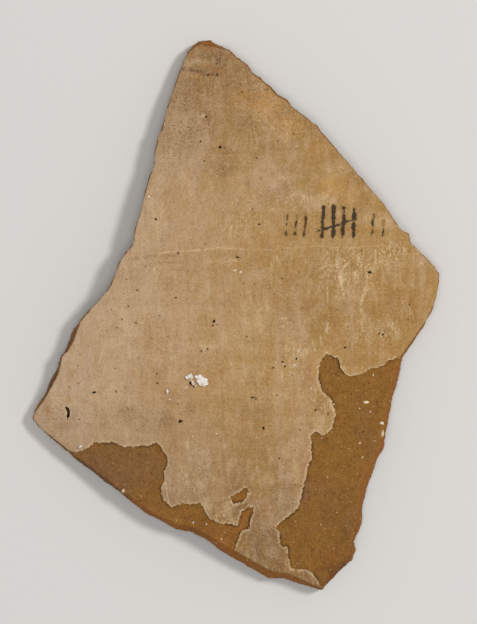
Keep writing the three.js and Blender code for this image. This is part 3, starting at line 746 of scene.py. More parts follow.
class Wiring:
    """Short calls that build a node tree from left to right. Values may be sockets or constants. A
    material's sizes are in millimetres, and its colour is laid coat by coat on the base."""

    def __init__(self, tree):
        self.tree = tree
        self.tree.nodes.clear()
        self.base = None

    def node(self, kind, inputs=(), **settings):
        made = self.tree.nodes.new(kind)
        for key, value in settings.items():
            setattr(made, key, value)
        for key, value in dict(inputs).items():
            self.feed(made.inputs[key], value)
        return made

    def out(self, kind, inputs=(), **settings):
        """The first output of a new node."""
        return self.node(kind, inputs, **settings).outputs[0]

    def feed(self, socket, value):
        if isinstance(value, bpy.types.NodeSocket):
            self.tree.links.new(value, socket)
        elif socket.type == "RGBA":
            socket.default_value = (*tuple(value)[:3], 1)
        else:
            socket.default_value = value

    def math(self, operation, a, b=0.0, c=0.0):
        return self.out("ShaderNodeMath", {0: a, 1: b, 2: c}, operation=operation)

    def times(self, a, b):
        return self.math("MULTIPLY", a, b)

    def plus(self, a, b):
        return self.math("ADD", a, b)

    def minus(self, a, b):
        return self.math("SUBTRACT", a, b)

    def larger(self, a, b):
        return self.math("MAXIMUM", a, b)

    def split(self, vector):
        return self.node("ShaderNodeSeparateXYZ", {0: vector}).outputs

    def joined(self, x, y, z):
        return self.out("ShaderNodeCombineXYZ", {0: x, 1: y, 2: z})

    def between(self, value, start, end, low=0.0, high=1.0):
        """A smooth rise from low to high as a value goes from start to end."""
        inputs = {"Value": value, "From Min": start, "From Max": end, "To Min": low, "To Max": high}
        return self.out("ShaderNodeMapRange", inputs, interpolation_type="SMOOTHSTEP")

    def blend(self, share, a, b):
        """A number between two numbers, by a share."""
        return self.math("MULTIPLY_ADD", share, self.minus(b, a), a)

    def mix(self, share, a, b):
        """A colour between two colours, by a share."""
        inputs = {0: share, 6: a, 7: b}
        return self.node("ShaderNodeMix", inputs, data_type="RGBA", clamp_factor=True).outputs[2]

    def coat(self, share, colour):
        """Lay a colour over the base, by a share."""
        self.base = self.mix(share, self.base, colour)

    def wash(self, share, strength, colour):
        """Lay a colour over the base, by a share and a strength."""
        self.coat(self.times(share, strength), colour)

    def stain(self, field, end, strength, colour):
        """Lay a colour over the base where a noise goes from its middle to an end."""
        self.coat(self.between(field, 0.5, end, 0, strength), colour)

    def drawn(self, field, low, high, strength, width=0.2):
        """Draw the base to one colour where a noise is low and to another where it is high."""
        self.stain(field, 0.5 - width, strength, low)
        self.stain(field, 0.5 + width, strength, high)

    def place(self, size, turn=0.0, shift=0.0):
        """Object coordinates in units of a size, which may differ by axis."""
        scales = tuple(s * MM for s in (size if isinstance(size, tuple) else (size,) * 3))
        inputs = {
            "Vector": self.node("ShaderNodeTexCoord").outputs["Object"],
            "Scale": scales, "Rotation": (0, 0, turn), "Location": tuple(-shift * s for s in scales),
        }
        return self.out("ShaderNodeMapping", inputs, vector_type="TEXTURE")

    def millimetres(self):
        """Object coordinates in millimetres, as three numbers."""
        return self.split(self.place(1))

    def noise(self, size, detail=3.0, roughness=0.55, distortion=0.0, turn=0.0, shift=0.0):
        inputs = {
            "Vector": self.place(size, turn, shift), "Scale": 1.0, "Detail": detail,
            "Roughness": roughness, "Distortion": distortion,
        }
        return self.node("ShaderNodeTexNoise", inputs).outputs["Fac"]

    def specks(self, size, radius, shift=0.0, share=1.0):
        """Round specks, one in some of the cells of a size: 1 inside them, 0 outside."""
        cells = self.node("ShaderNodeTexVoronoi", {"Vector": self.place(size, 0, shift), "Scale": 1.0})
        chance = self.out("ShaderNodeSeparateColor", {"Color": cells.outputs["Color"]})
        inside = self.between(cells.outputs["Distance"], radius, radius * 0.6)
        return self.times(inside, self.math("LESS_THAN", chance, share))

    def stored(self, name, output="Fac"):
        """What a mesh stores for each point."""
        reader = self.node("ShaderNodeAttribute", attribute_name=name, attribute_type="GEOMETRY")
        return reader.outputs[output]

    def parts(self, name):
        """The three parts of a vector that a mesh stores."""
        return self.split(self.stored(name, "Vector"))

    def finish(self, roughness, height, depth, strength=1.0):
        """The shader and the output, with a bump of a depth under the height."""
        inputs = {"Height": height, "Distance": depth * MM, "Strength": strength}
        bump = self.out("ShaderNodeBump", inputs)
        inputs = {"Base Color": self.base, "Roughness": roughness, "Normal": bump, "Specular IOR Level": 0.1}
        shader = self.out("ShaderNodeBsdfPrincipled", inputs)
        self.node("ShaderNodeOutputMaterial", {"Surface": shader})


def colours():
    return bpy.context.scene.ostracon_colours


def sizes():
    return bpy.context.scene.ostracon_sizes


def wiring_of(name):
    """A new material, the wiring of its tree, and the colours."""
    material = bpy.data.materials.new(name)
    material.use_nodes = True
    return material, Wiring(material.node_tree), colours()


def slip_finish(w):
    """Lay the slip's colour: wiped buff, blotched, stained and scuffed, with painted shade and a painted
    highlight. Give its roughness and height.
    """
    c = colours()
    x, y, _ = w.millimetres()
    # The whole face is pinkish at the left and ochre at the right. It is darker at both ends, partly the
    # slip's colour and partly painted shade where the light falls off
    w.base = w.mix(w.between(x, -48.0, 8.0), c.slip_pink, c.slip)
    w.coat(w.between(x, -10.0, 50.0, 0.0, 0.88), c.slip_ochre)
    ends = w.larger(w.between(y, 20.0, 70.0, 0.0, 0.6), w.between(y, -16.0, -60.0, 0.0, 0.85))
    w.coat(ends, c.slip_dark)
    pink, ochre, dark = w.parts("tints")
    pale, scuff, worn = w.parts("wear")
    # The stains of the table, each uneven within its patch
    uneven = w.between(w.noise(3, 4, 0.7, 0.4, 0, 9.0), 0.32, 0.68, 0.4, 1.1)
    washes = (
        (w.stored("warm"), c.slip_warm), (pink, c.slip_pink), (ochre, c.slip_ochre),
        (dark, c.slip_dark), (pale, c.slip_pale), (w.stored("soil"), c.clay_dark),
    )
    for tint, wash_colour in washes:
        w.wash(tint, w.times(uneven, 0.8), wash_colour)
    # Clouds: streaks that slant at the upper left, blotches, and finer streaks
    leaning = w.times(w.between(y, 6.0, 30.0), w.between(x, 20.0, -12.0))
    upright = w.noise((4.6, 36, 36), 4, 0.62, 0.5, 0.04, 1.0)
    slanting = w.noise((3.6, 32, 32), 4, 0.62, 0.5, -0.37, 3.0)
    clouds = (
        (w.blend(leaning, upright, slanting), w.between(x, -36.0, -14.0, 0.16, 0.37)),
        (w.noise(20, 5, 0.6, 0.8, 0, 1.0), 0.35),
        (w.noise((1.7, 4, 4), 5, 0.65, 0.6, 0.05, 5.0), 0.34),
    )
    for cloud, strength in clouds:
        w.drawn(cloud, c.slip_ochre, c.slip_pink, strength)
    # Wiping along the jar, faint lines of the wheel across it, a mottle, and clay through thin slip
    wiped = w.between(w.noise(24, 2, 0.5, 0.5, 0, 2.0), 0.4, 0.62, 0.4, 1.0)
    wipe = w.noise((0.8, 9, 9), 3, 0.6, 0.6, 0.05)
    w.drawn(wipe, c.slip_dark, c.slip_pale, w.times(wiped, 0.14))
    wheel = w.noise((60, 1.2, 60), 3, 0.6, 0.3, -0.05, 7.0)
    w.drawn(wheel, c.slip_dark, c.slip_pale, 0.06)
    mottle = w.noise((2.6, 4.2, 4), 6, 0.75, 0.3, 0, 4.0)
    w.drawn(mottle, c.slip_pale, c.slip_dark, 0.22)
    thin = w.between(w.noise(1.2, 3, 0.75, 0.6, 0, 6.0), 0.60, 0.68, 0, 0.55)
    where = w.between(w.noise(15, 2, 0.5, 0, 0, 3.0), 0.42, 0.6, 0.2, 1.0)
    w.wash(thin, where, c.fracture)
    # Grain, pale chips and cracks where it is scuffed, and flecks of soil
    grain = w.noise(0.5, 2, 0.85, 0, 0, 2.0)
    w.drawn(grain, c.slip_pale, c.slip_dark, 0.34, 0.22)
    chips = w.noise((0.42, 1.1, 0.6), 2, 0.7, 0.3, 0.15, 12.0)
    ridges = w.minus(w.noise((1.8, 3.6, 3), 4, 0.7, 0.9, 0, 5.0), 0.5)
    lines = w.larger(w.between(w.math("ABSOLUTE", ridges), 0.026, 0.004), w.between(chips, 0.60, 0.65))
    lines = w.times(lines, w.between(mottle, 0.60, 0.48, 0.3, 1.0))
    w.wash(lines, w.math("MULTIPLY_ADD", scuff, 1.0, 0.05), c.slip_pale)
    flecks = w.between(w.noise(0.42, 2, 0.6, 0.2, 0, 15.0), 0.60, 0.67)
    flecked = w.math("MULTIPLY_ADD", dark, 1.2, w.between(where, 0.2, 1.0, 0.04, 0.3))
    w.wash(flecks, w.plus(flecked, w.between(y, 24.0, 56.0, 0.0, 0.35)), c.clay_dark)
    # Specks, worn places, a painted highlight along the flaked edge, scratches, and pits painted dark as
    # shade
    dark_specks = w.specks(2.9, 0.10, 3.0, 0.35)
    w.wash(dark_specks, 0.6, c.clay_dark)
    w.wash(w.times(w.specks(1.2, 0.17, 17.0, 0.4), scuff), 0.9, c.slip_pale)
    w.wash(w.specks(3.8, 0.08, 8.0, 0.35), 0.55, c.slip_pale)
    patchy = w.between(w.noise(1.1, 4, 0.7, 0.3, 0, 21.0), 0.36, 0.58, 0.25, 1.0)
    w.wash(worn, patchy, w.mix(0.6, c.fracture, c.clay_red))
    pit, rim, scratch = w.parts("marks")
    broken = w.between(w.noise(0.8, 3, 0.6, 0, 0, 5.0), 0.38, 0.56)
    # The rim is a painted highlight along the flaked edge, broken by a noise
    w.wash(rim, w.times(broken, 0.7), c.slip_pale)
    nicked = w.between(w.noise(0.5, 3, 0.7, 0.3, 0, 19.0), 0.40, 0.54)
    w.wash(scratch, w.times(nicked, 0.75), c.scratch)
    # Pits are painted nearly black: the darker clay inside them, and painted shade
    w.coat(w.between(pit, 0.16, 0.6, 0.0, 0.97), shade(c.clay_dark, 0.14))
    height = w.plus(w.plus(w.times(wipe, 0.4), w.times(grain, 0.6)), mottle)
    height = w.minus(height, w.times(dark_specks, 0.6))
    height = w.minus(height, w.times(lines, w.times(scuff, 0.3)))
    return w.between(mottle, 0.3, 0.7, 0.72, 0.9), height


def slip_material():
    material, w, _ = wiring_of("buff_slip")
    w.finish(*slip_finish(w), 0.09)
    return material


def clay_material():
    """Fired clay: brown and grainy outside, more orange and coarser where it broke."""
    material, w, c = wiring_of("fired_clay")
    broken, inner, hollow = w.parts("faces")
    dusky_and_shaded, orange, soil = w.parts("tints")
    patchy = w.noise(7, 4, 0.65, 0.5)
    clots = w.noise(2.2, 3, 0.7, 0.4, 0, 4.0)
    grain = w.noise(0.8, 4, 0.8)
    fine = w.noise(0.34, 2, 0.8, 0, 0, 3.0)
    # Patches, more orange clay where it broke, and the tints of the table. On broken faces the dusky tint is
    # painted shade
    w.base = w.mix(w.between(patchy, 0.45, 0.68, 0, 0.3), c.clay, c.clay_red)
    w.stain(patchy, 0.3, 0.25, c.fracture)
    edge = w.between(w.plus(broken, w.times(patchy, 0.4)), 0.35, 1.1)
    w.coat(w.larger(edge, w.times(orange, 0.8)), c.fracture)
    w.wash(dusky_and_shaded, 0.8, c.clay_red)
    # Painted shade on the broken faces in the dusky patches
    w.wash(w.times(dusky_and_shaded, broken), w.between(patchy, 0.3, 0.6, 0.12, 0.48), c.clay_dark)
    # Darker patches that are soil and painted shade
    w.wash(w.stored("soiled"), w.between(clots, 0.35, 0.65, 0.7, 1.1), c.clay_dark)
    # Clots and grains of three sizes, each dark on one side of its noise and paler on the other
    w.stain(clots, 0.7, 0.28, c.clay_dark)
    w.stain(clots, 0.3, 0.3, c.slip_ochre)
    w.stain(grain, 0.7, 0.5, c.clay_dark)
    w.stain(grain, 0.3, 0.42, w.mix(0.4, c.fracture, c.slip_ochre))
    w.wash(inner, 0.35, c.clay_dark)
    w.stain(fine, 0.72, 0.55, c.clay_dark)
    w.stain(fine, 0.28, 0.5, c.slip_ochre)
    # Specks and crumbs, a dark line along the slip's edge that is soil and painted shadow, and the straw's
    # void painted dark as shade
    w.wash(w.specks(2.2, 0.10, 6.0, 0.25), 0.6, c.slip_pale)
    crumbs = w.larger(w.specks(0.9, 0.2, 11.0, 0.3), w.specks(1.3, 0.16, 14.0, 0.3))
    w.wash(crumbs, 0.4, w.mix(0.5, c.slip_ochre, c.slip_pale))
    dark = w.specks(2.3, 0.12, 1.0, 0.22)
    w.wash(dark, 0.6, shade(c.clay_dark, 0.5))
    caught = w.between(w.noise(1.6, 3, 0.6, 0, 0, 8.0), 0.34, 0.56, 0.08, 0.75)
    # Soil and the painted shadow of the slip's edge, in patches
    w.wash(soil, caught, shade(c.clay_dark, 0.5))
    # The straw's void is painted nearly black as shade
    w.coat(hollow, shade(c.clay_dark, 0.1))
    height = w.minus(w.plus(w.plus(grain, w.times(fine, 0.5)), clots), dark)
    w.finish(w.between(grain, 0.3, 0.7, 0.8, 0.95), height, 0.3)
    return material


def chalk_material(name, base_colour, shade_colour):
    """Chalky stone: nearly white, darker in its hollows with soil and painted shade."""
    material, w, c = wiring_of(name)
    lumps = w.noise(0.42, 4, 0.7)
    fine = w.noise(0.15, 3, 0.6)
    soil = w.noise(0.8, 3, 0.6, 0.3, 0, 2.0)
    # Hollows are drawn to the shade colour and the deepest to the dark clay: soil and painted shade
    w.base = w.mix(w.between(lumps, 0.52, 0.70, 0, 0.6), base_colour, shade_colour)
    w.stain(soil, 0.58, 0.5, c.slip)
    w.coat(w.between(lumps, 0.64, 0.74, 0, 0.6), c.clay_dark)
    height = w.minus(w.times(fine, 0.4), lumps)
    w.finish(w.between(fine, 0.3, 0.7, 0.85, 0.97), height, 0.12)
    return material


def grain_material():
    """Temper: each grain is limestone, quartz or a dark or red grit, by its own tint."""
    material, w, c = wiring_of("temper")
    tint = w.stored("tint")
    w.base = w.mix(w.between(tint, 0.30, 0.34), c.clay_dark, c.fracture)
    w.coat(w.between(tint, 0.72, 0.80, 0, 0.5), c.grit)
    w.coat(w.between(tint, 0.97, 0.98, 0, 0.85), c.grit)
    fine = w.noise(0.2, 3, 0.6)
    w.stain(fine, 0.8, 0.4, c.clay_dark)
    w.finish(w.between(fine, 0.3, 0.7, 0.6, 0.9), fine, 0.04)
    return material


def ink_material():
    """Carbon ink: thick and nearly black in the middle of a stroke, worn down to the slip round it."""
    material, w, c = wiring_of("worn_ink")
    roughness, height = slip_finish(w)
    wear = w.noise(1.1, 5, 0.72, 0.3, 0, 7.0)
    fleck = w.noise(0.35, 3, 0.7, 0, 0, 1.0)
    x, _, _ = w.millimetres()
    faded = w.plus(w.between(x, 22.0, 14.0, 0.0, 0.04), w.between(x, 33.0, 38.0, 0.0, 0.04))
    cover = w.minus(w.times(w.stored("body"), 1.15), w.math("MULTIPLY_ADD", wear, 1.9, -0.4))
    cover = w.minus(w.minus(cover, w.times(fleck, 0.5)), faded)
    thin = w.mix(w.between(x, 24.0, 18.0, 0.0, 0.5), c.ink, c.clay_dark)
    w.coat(w.between(cover, -0.05, 0.3, 0.0, 0.94), thin)
    w.finish(roughness, height, 0.05)
    return material


def to_clay_edge(points):
    """The distance from each point to the clay's edge."""
    return nearest(points, resampled(wall.clay_ring, 0.4 * MM))


def covered(points):
    """Whether the slip lies over each point."""
    flat, faces = sheet(ragged_rings(), np.empty((0, 2)))
    tree = BVHTree.FromPolygons([(x, y, 0.0) for x, y in flat.tolist()], faces.tolist())
    hits = [tree.ray_cast((x, y, RAY_START), DOWN)[0] for x, y in points[:, :2].tolist()]
    return np.array([hit is not None for hit in hits])


class OSTRACON_OT_clay_body(bpy.types.Operator):
    """Make the fired clay, rough where it broke and ridged inside"""

    bl_idname = "ostracon.clay_body"
    bl_label = "Clay body"

    def execute(self, context):
        bm = merged("clay_body")
        for name in GRITS:
            low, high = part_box(name)
            made = bmesh.ops.create_icosphere(bm, subdivisions=2, radius=1.0)
            for v in made["verts"]:
                v.co = (low + high) / 2 + v.co * (high - low) * GRIT_BED
                v.co.z = min(v.co.z, wall.clay_skin.height(v.co.x, v.co.y) - BED_DEPTH)
        mesh = remeshed(bm, sizes().clay_detail)
        self.break_faces(mesh)
        mesh = self.thinned(mesh)
        write_points(mesh, read_points(mesh))
        self.store_faces(mesh)
        new_piece("clay", mesh, clay_material(), ("clay_body",))
        return {"FINISHED"}

    def depths(self, points):
        """How far each point is under the outer skin and over the inner one."""
        x, y, z = points.T
        return wall.clay_skin.height(x, y) - z, z - wall.inner_skin.height(x, y)

    def break_faces(self, mesh):
        """Roughen the broken faces, and lay the skins on their smooth curves with a fine grain."""
        s = sizes()
        points, normals = read_points(mesh), read_normals(mesh)
        under, over = self.depths(points)
        outer, inner = 1 - eased(under, *SKIN_BLEND), 1 - eased(over, *SKIN_BLEND)
        grain = rough(points, 1.3 * MM, 3, 2)
        points[:, 2] += outer * (under - s.skin_relief * (0.5 - 0.5 * grain))
        lines = rough(points, (40 * MM, 1.1 * MM, 40 * MM), 3, 6)
        settled = over * (np.abs(over) < INNER_REACH)
        points[:, 2] += inner * (INNER_LINES * lines + INNER_GRAIN * grain - settled)
        points[:, 2] -= s.void_depth * outer * self.void_share(points)
        side = (1 - outer) * (1 - inner)
        relief = 0.65 * rough(points, 3.2 * MM, 4, 4) + 0.35 * rough(points, 0.9 * MM, 2, 5) - 0.05
        write_points(mesh, points + normals * (side * s.break_relief * relief)[:, None])

    def void_share(self, points):
        """1 under the slip's smallest opening, where a straw burnt out of the clay."""
        void = resampled(min(ragged_rings(), key=enclosed), 0.15 * MM)
        middle = void.mean(axis=0)
        core = np.concatenate([middle + (void - middle) * k / 6 for k in range(7)])
        return 1 - eased(nearest(points, core), *VOID_REACH)

    def thinned(self, mesh):
        """The same mesh with larger facets where the slip or the hollow hides the clay."""
        points = read_points(mesh)
        under, over = self.depths(points)
        inside = (over < HIDDEN_DEPTH) | (covered(points) & (under < HIDDEN_DEPTH))
        carrier = linked("carrier", mesh)
        group = carrier.vertex_groups.new(name="thin")
        group.add(np.flatnonzero(inside).tolist(), 1.0, "REPLACE")
        modifier = carrier.modifiers.new("Thin", "DECIMATE")
        modifier.ratio = min(1.0, CLAY_TRIANGLES / (2 * len(mesh.polygons)))
        modifier.vertex_group = group.name
        return evaluated_mesh(carrier)

    def store_faces(self, mesh):
        """Tell the material which points are broken, inside the jar or in the void, their tints, where soil
        and painted shade darken them, and the grains where to lie."""
        points = read_points(mesh)
        under, over = self.depths(points)
        apart = to_clay_edge(points)
        broken = eased(under, *FACE_BLEND) * eased(over, *FACE_BLEND)
        inner = 1 - eased(over, 0.15 * MM, 0.8 * MM)
        edge = 0.45 * (1 - eased(apart, 0.2 * MM, 1.6 * MM)) * (1 - inner)
        # The void's painted shade is darkest below the first of its rows
        deep = 1 - eased(points[:, 1], *(spot(0, row)[1] for row in VOID_ROWS_PX))
        void = self.void_share(points) * (under < 2 * MM) * (0.45 + 0.55 * deep)
        store(mesh, "faces", np.maximum(broken, edge), inner, void)
        # A dark line on the clay along the slip's flaked edge: soil, and the edge's painted shadow
        soil = 1 - eased(nearest(points, np.concatenate(ragged_rings())), 0.15 * MM, 0.75 * MM)
        soil *= 1 - eased(under, 0.3 * MM, 1 * MM)
        soil *= eased(apart, 0.8 * MM, 2.4 * MM)
        soil *= eased(rough(points[:, :2], 7 * MM, 3, 51), -0.35, 0.35)
        tints = stains(points, CLAY_TINTS_PX)
        store(mesh, "tints", tints["dusky_and_shaded"], tints["orange"], soil)
        store(mesh, "soiled", tints["soiled"])
        bare = (1 - eased(under, 0.2 * MM, 0.5 * MM)) * ~covered(points)
        store(mesh, "grain_share", np.maximum(bare, 0.7 * broken))


def oval(long, short, turn):
    """The long and the short reach of an oval at a turn, as two rows."""
    rows = np.array([[math.cos(turn), math.sin(turn)], [-math.sin(turn), math.cos(turn)]])
    return rows * [[long], [short]]


def crossed(rings):
    """Which points of some outlines stand next to a place where two of their sides cross."""
    here = np.concatenate(rings)
    ahead = np.concatenate([np.roll(ring, -1, axis=0) for ring in rings])
    way = ahead - here

    def side(point):
        away = point[None, :, :] - here[:, None, :]
        return way[:, None, 0] * away[..., 1] - way[:, None, 1] * away[..., 0]

    splits = side(here) * side(ahead) < 0
    both = splits & splits.T
    return both.any(axis=1)


@functools.cache
def ragged_outlines(step, wander):
    """The slip's outlines: ragged where it flaked, and close to the clay's edge elsewhere."""
    clay_edge = resampled(wall.clay_ring, 0.3 * MM)
    rings, amounts = [], []
    for ring in wall.slip_rings:
        fine = resampled(ring, step)
        reach = nearest(fine, clay_edge)
        fine += eased(reach, *EDGE_HOLDS)[:, None] * (drawn_in(fine, EDGE_SHIFT_PX) - fine)
        rings.append(fine)
        amounts.append(wander * (0.35 + 0.65 * eased(reach, 0.3 * MM, 1.2 * MM)))
    # The smallest outline is the straw's void, and the next is the small flaked hole
    hole = sorted(range(len(rings)), key=lambda k: enclosed(rings[k]))[1]
    amounts[hole] *= HOLE_WANDER
    ends = np.cumsum([len(ring) for ring in rings])[:-1]
    for _ in range(EASING_TRIES):
        ragged = [
            wandered(ring, amount, 11 + k, HOLE_LEAN if k == hole else 0.0)
            for k, (ring, amount) in enumerate(zip(rings, amounts))
        ]
        bad = np.split(crossed(ragged), ends)
        if not any(part.any() for part in bad):
            break
        for amount, part in zip(amounts, bad):
            for shift in range(-EASED_POINTS, EASED_POINTS + 1):
                amount[np.roll(part, shift)] *= EASING
    return ragged


def ragged_rings():
    return ragged_outlines(sizes().margin_step, sizes().margin_wander)


class OSTRACON_OT_outer_slip(bpy.types.Operator):
    """Make the slip with its flaked margins, pits, dents, scratches and stains"""

    bl_idname = "ostracon.outer_slip"
    bl_label = "Outer slip"

    def execute(self, context):
        s = sizes()
        rng = np.random.default_rng(5)
        rings = ragged_rings()
        self.pits = self.all_pits(rings, rng)
        inner = grid_inside(rings, s.slip_detail, 0.55 * s.margin_step, rng)
        details = self.detail_points()
        inner = inner[nearest(inner, details) > 0.3 * s.slip_detail]
        top, top_faces = sheet(rings, np.concatenate([details, inner]))
        coarse = grid_inside(rings, 4 * MM, 1.2 * MM, rng)
        low, low_faces = sheet(rings, coarse)
        edge = np.concatenate(rings)
        points = np.concatenate([self.top_places(top, edge), self.low_places(low)])
        low_faces = low_faces[:, ::-1] + len(top)
        faces = top_faces.tolist() + low_faces.tolist() + self.edge_faces(rings, len(top))
        mesh = bpy.data.meshes.new("slip")
        mesh.from_pydata(points.tolist(), [], faces)
        self.store_marks(mesh, edge)
        new_piece("slip", mesh, slip_material(), ("outer_slip",))
        return {"FINISHED"}

    def all_pits(self, rings, rng):
        """Every pit's middle, its long and short reach, and its depth as a share: first the marks of
        the table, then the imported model's other pinholes, then smaller ones scattered between them."""
        pits = [
            (np.array(spot(x_px, y_px)), oval(long * PIXEL, short * PIXEL, math.radians(turn)), depth)
            for x_px, y_px, long, short, turn, depth in DENTS_PX
        ]
        listed = np.array([centre for centre, _, _ in pits])
        pinholes = drawn_in(np.array([centre for centre, _ in wall.pinholes]), PINHOLE_SHIFT_PX)
        apart = nearest(pinholes, listed) > SAME_PIT
        places = grid_inside(rings, PIT_GRID, 1.5 * MM, rng)
        places += rng.uniform(-PIT_STRAY_MM, PIT_STRAY_MM, places.shape) * MM
        places = places[nearest(places, np.concatenate([listed, pinholes])) > PIT_CLEARANCE]
        places = places[nearest(places, np.concatenate(rings)) > PIT_EDGE_CLEARANCE]
        places = places[rng.random(len(places)) < PITS_KEPT]
        found = [(hole, radius) for hole, (_, radius), far in zip(pinholes, wall.pinholes, apart) if far]
        found += [(place, rng.uniform(*PIT_RADII_MM) * MM) for place in places]
        for centre, radius in found:
            squash = rng.uniform(0.66, 0.98)
            turn, depth = rng.uniform(0, np.pi), rng.uniform(0.6, 1)
            pits.append((centre, oval(radius / squash, radius * squash, turn), depth))
        self.phases = rng.uniform(0, 2 * np.pi, (len(pits), 2))
        return pits

    def detail_points(self):
        """Rings of points round every pit, so that its wall is steep."""
        turns = np.linspace(0, 2 * np.pi, 9)[:-1]
        circle = np.stack([np.cos(turns), np.sin(turns)], axis=1)
        rings = []
        for centre, reach, _ in self.pits:
            rings += [centre + circle @ reach * share for share in PIT_RINGS]
            rings.append(centre[None, :])
        return np.concatenate(rings)

    def pit_share(self, points, spread=1.1):
        """The depth at each point: a pit's own at its bottom, 0 at a spread of its uneven outline."""
        share = np.zeros(len(points))
        for (centre, reach, depth), (two, three) in zip(self.pits, self.phases):
            away = points[:, :2] - centre
            near = np.flatnonzero(np.abs(away).max(axis=1) < 1.5 * spread * np.abs(reach).max())
            x, y = (away[near] @ np.linalg.inv(reach)).T
            turn = np.arctan2(y, x)
            swell = 1 + PIT_WAVES[0] * np.cos(2 * turn + two) + PIT_WAVES[1] * np.cos(3 * turn + three)
            distance = np.hypot(x, y) * swell
            share[near] = np.maximum(share[near], depth * (1 - eased(distance, 0.5, spread)))
        return share

    def top_places(self, top, edge):
        """The wiped and undulating face of the slip, rolled off at its edge."""
        s = sizes()
        z = wall.slip_skin.height(top[:, 0], top[:, 1]) - s.slip_relief
        for share, size, octaves, seed in SLIP_RELIEF:
            z += s.slip_relief * share * rough(top, size, octaves, seed)
        z -= ROLL_DEPTH * (1 - eased(nearest(top, edge), 0, ROLL_WIDTH))
        z -= s.pit_depth * self.pit_share(top)
        return np.column_stack([top, z])

    def low_places(self, low):
        """The underside, which beds into the clay."""
        under = SLIP_THICKNESS + BOND_GAP + sizes().skin_relief
        return np.column_stack([low, wall.slip_skin.height(low[:, 0], low[:, 1]) - under])

    def edge_faces(self, rings, shift):
        """The flaked edge between the upper and the lower sheet."""
        return [(ahead, here, here + shift, ahead + shift) for here, ahead in sides_of(rings)]

    def store_marks(self, mesh, edge):
        """Where pits, the painted highlight along the flaked edge, scratches and stains are, for the
        material.
        """
        points = read_points(mesh)
        found = stains(points, STAINS_PX)
        found["pit"], found["scratch"] = self.pit_share(points), np.zeros(len(points))
        # The rim: a painted highlight along the flaked edge, weak at the sherd's own edge
        found["rim"] = 1 - eased(nearest(points, edge), 0.1 * MM, 0.8 * MM)
        found["rim"] *= 0.15 + 0.85 * eased(to_clay_edge(points), 0.5 * MM, 1.6 * MM)
        marks = [("scratch", 1.0, 0.3, points, ((x0, y0), (x1, y1))) for x0, y0, x1, y1 in SCRATCHES_PX]
        wavy = points[:, :2] + rough(points[:, :2], 9 * MM, 2, 41)[:, None] * 0.5 * MM
        marks += [(kind, strength, half_width, wavy, line) for kind, strength, half_width, line in LINES_PX]
        for kind, strength, half_width, places, line in marks:
            for start, end in zip(line, line[1:]):
                share = strength * along_line(places, start, end, half_width * MM)
                found[kind] = np.maximum(found[kind], share)
        # Painted shade round each pit
        found["dark"] = np.maximum(found["dark"], 0.35 * self.pit_share(points, 2.2))
        for name, kinds in SLIP_LAYERS.items():
            store(mesh, name, *(found[kind] for kind in kinds))


def stone_of(name, seed):
    """A CAD stone as a bmesh, with its middle, its half size and random numbers of its own."""
    low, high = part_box(name)
    return merged(name), (low + high) / 2, (high - low) / 2, np.random.default_rng(seed)


def chip(name, facet, relief, seed):
    """A CAD stone broken along a few planes, as a crushed grain is."""
    bm, centre, half, rng = stone_of(name, seed)
    for _ in range(CHIP_PLANES):
        way = rng.normal(size=3)
        way /= np.linalg.norm(way)
        face = centre + Vector(way) * rng.uniform(*CHIP_REACH) * np.linalg.norm(way * np.array(half))
        everything = [*bm.verts, *bm.edges, *bm.faces]
        bmesh.ops.bisect_plane(bm, geom=everything, plane_co=face, plane_no=way, clear_outer=True)
        rim = [e for e in bm.edges if e.is_boundary]
        if rim:
            bmesh.ops.edgeloop_fill(bm, edges=rim)
    return roughened_stone(bm, facet, relief, seed, 0.0)


def cluster(name, facet, relief, seed, sink):
    """A CAD stone overgrown with many small lumps."""
    bm, centre, half, rng = stone_of(name, seed)
    tops = [v.co.copy() for v in bm.verts if v.co.z > centre.z]
    for v in bm.verts:
        v.co = centre + (v.co - centre) * CRUST_CORE
    for _ in range(max(FEWEST_LUMPS, round(LUMPS_PER_MM2 * half.x * half.y / (MM * MM)))):
        reach = rng.uniform(*LUMP_SIZE) * min(half.x, half.y)
        place = centre + (tops[rng.integers(len(tops))] - centre) * rng.uniform(*LUMP_REACH)
        made = bmesh.ops.create_icosphere(bm, subdivisions=2, radius=reach)
        bmesh.ops.translate(bm, verts=made["verts"], vec=place)
    return roughened_stone(bm, facet, relief, seed, sink)


def roughened_stone(bm, facet, relief, seed, sink):
    """Even facets over the solids of a bmesh, roughened, with the lower half let down by a sink."""
    mesh = remeshed(bm, facet)
    points, normals = read_points(mesh), read_normals(mesh)
    lumps = 0.7 * rough(points, 8 * facet, 3, seed) + 0.3 * rough(points, 3 * facet, 2, seed + 1)
    points += normals * (relief * lumps)[:, None]
    points[:, 2] -= sink * (normals[:, 2] < 0)
    write_points(mesh, points)
    return mesh


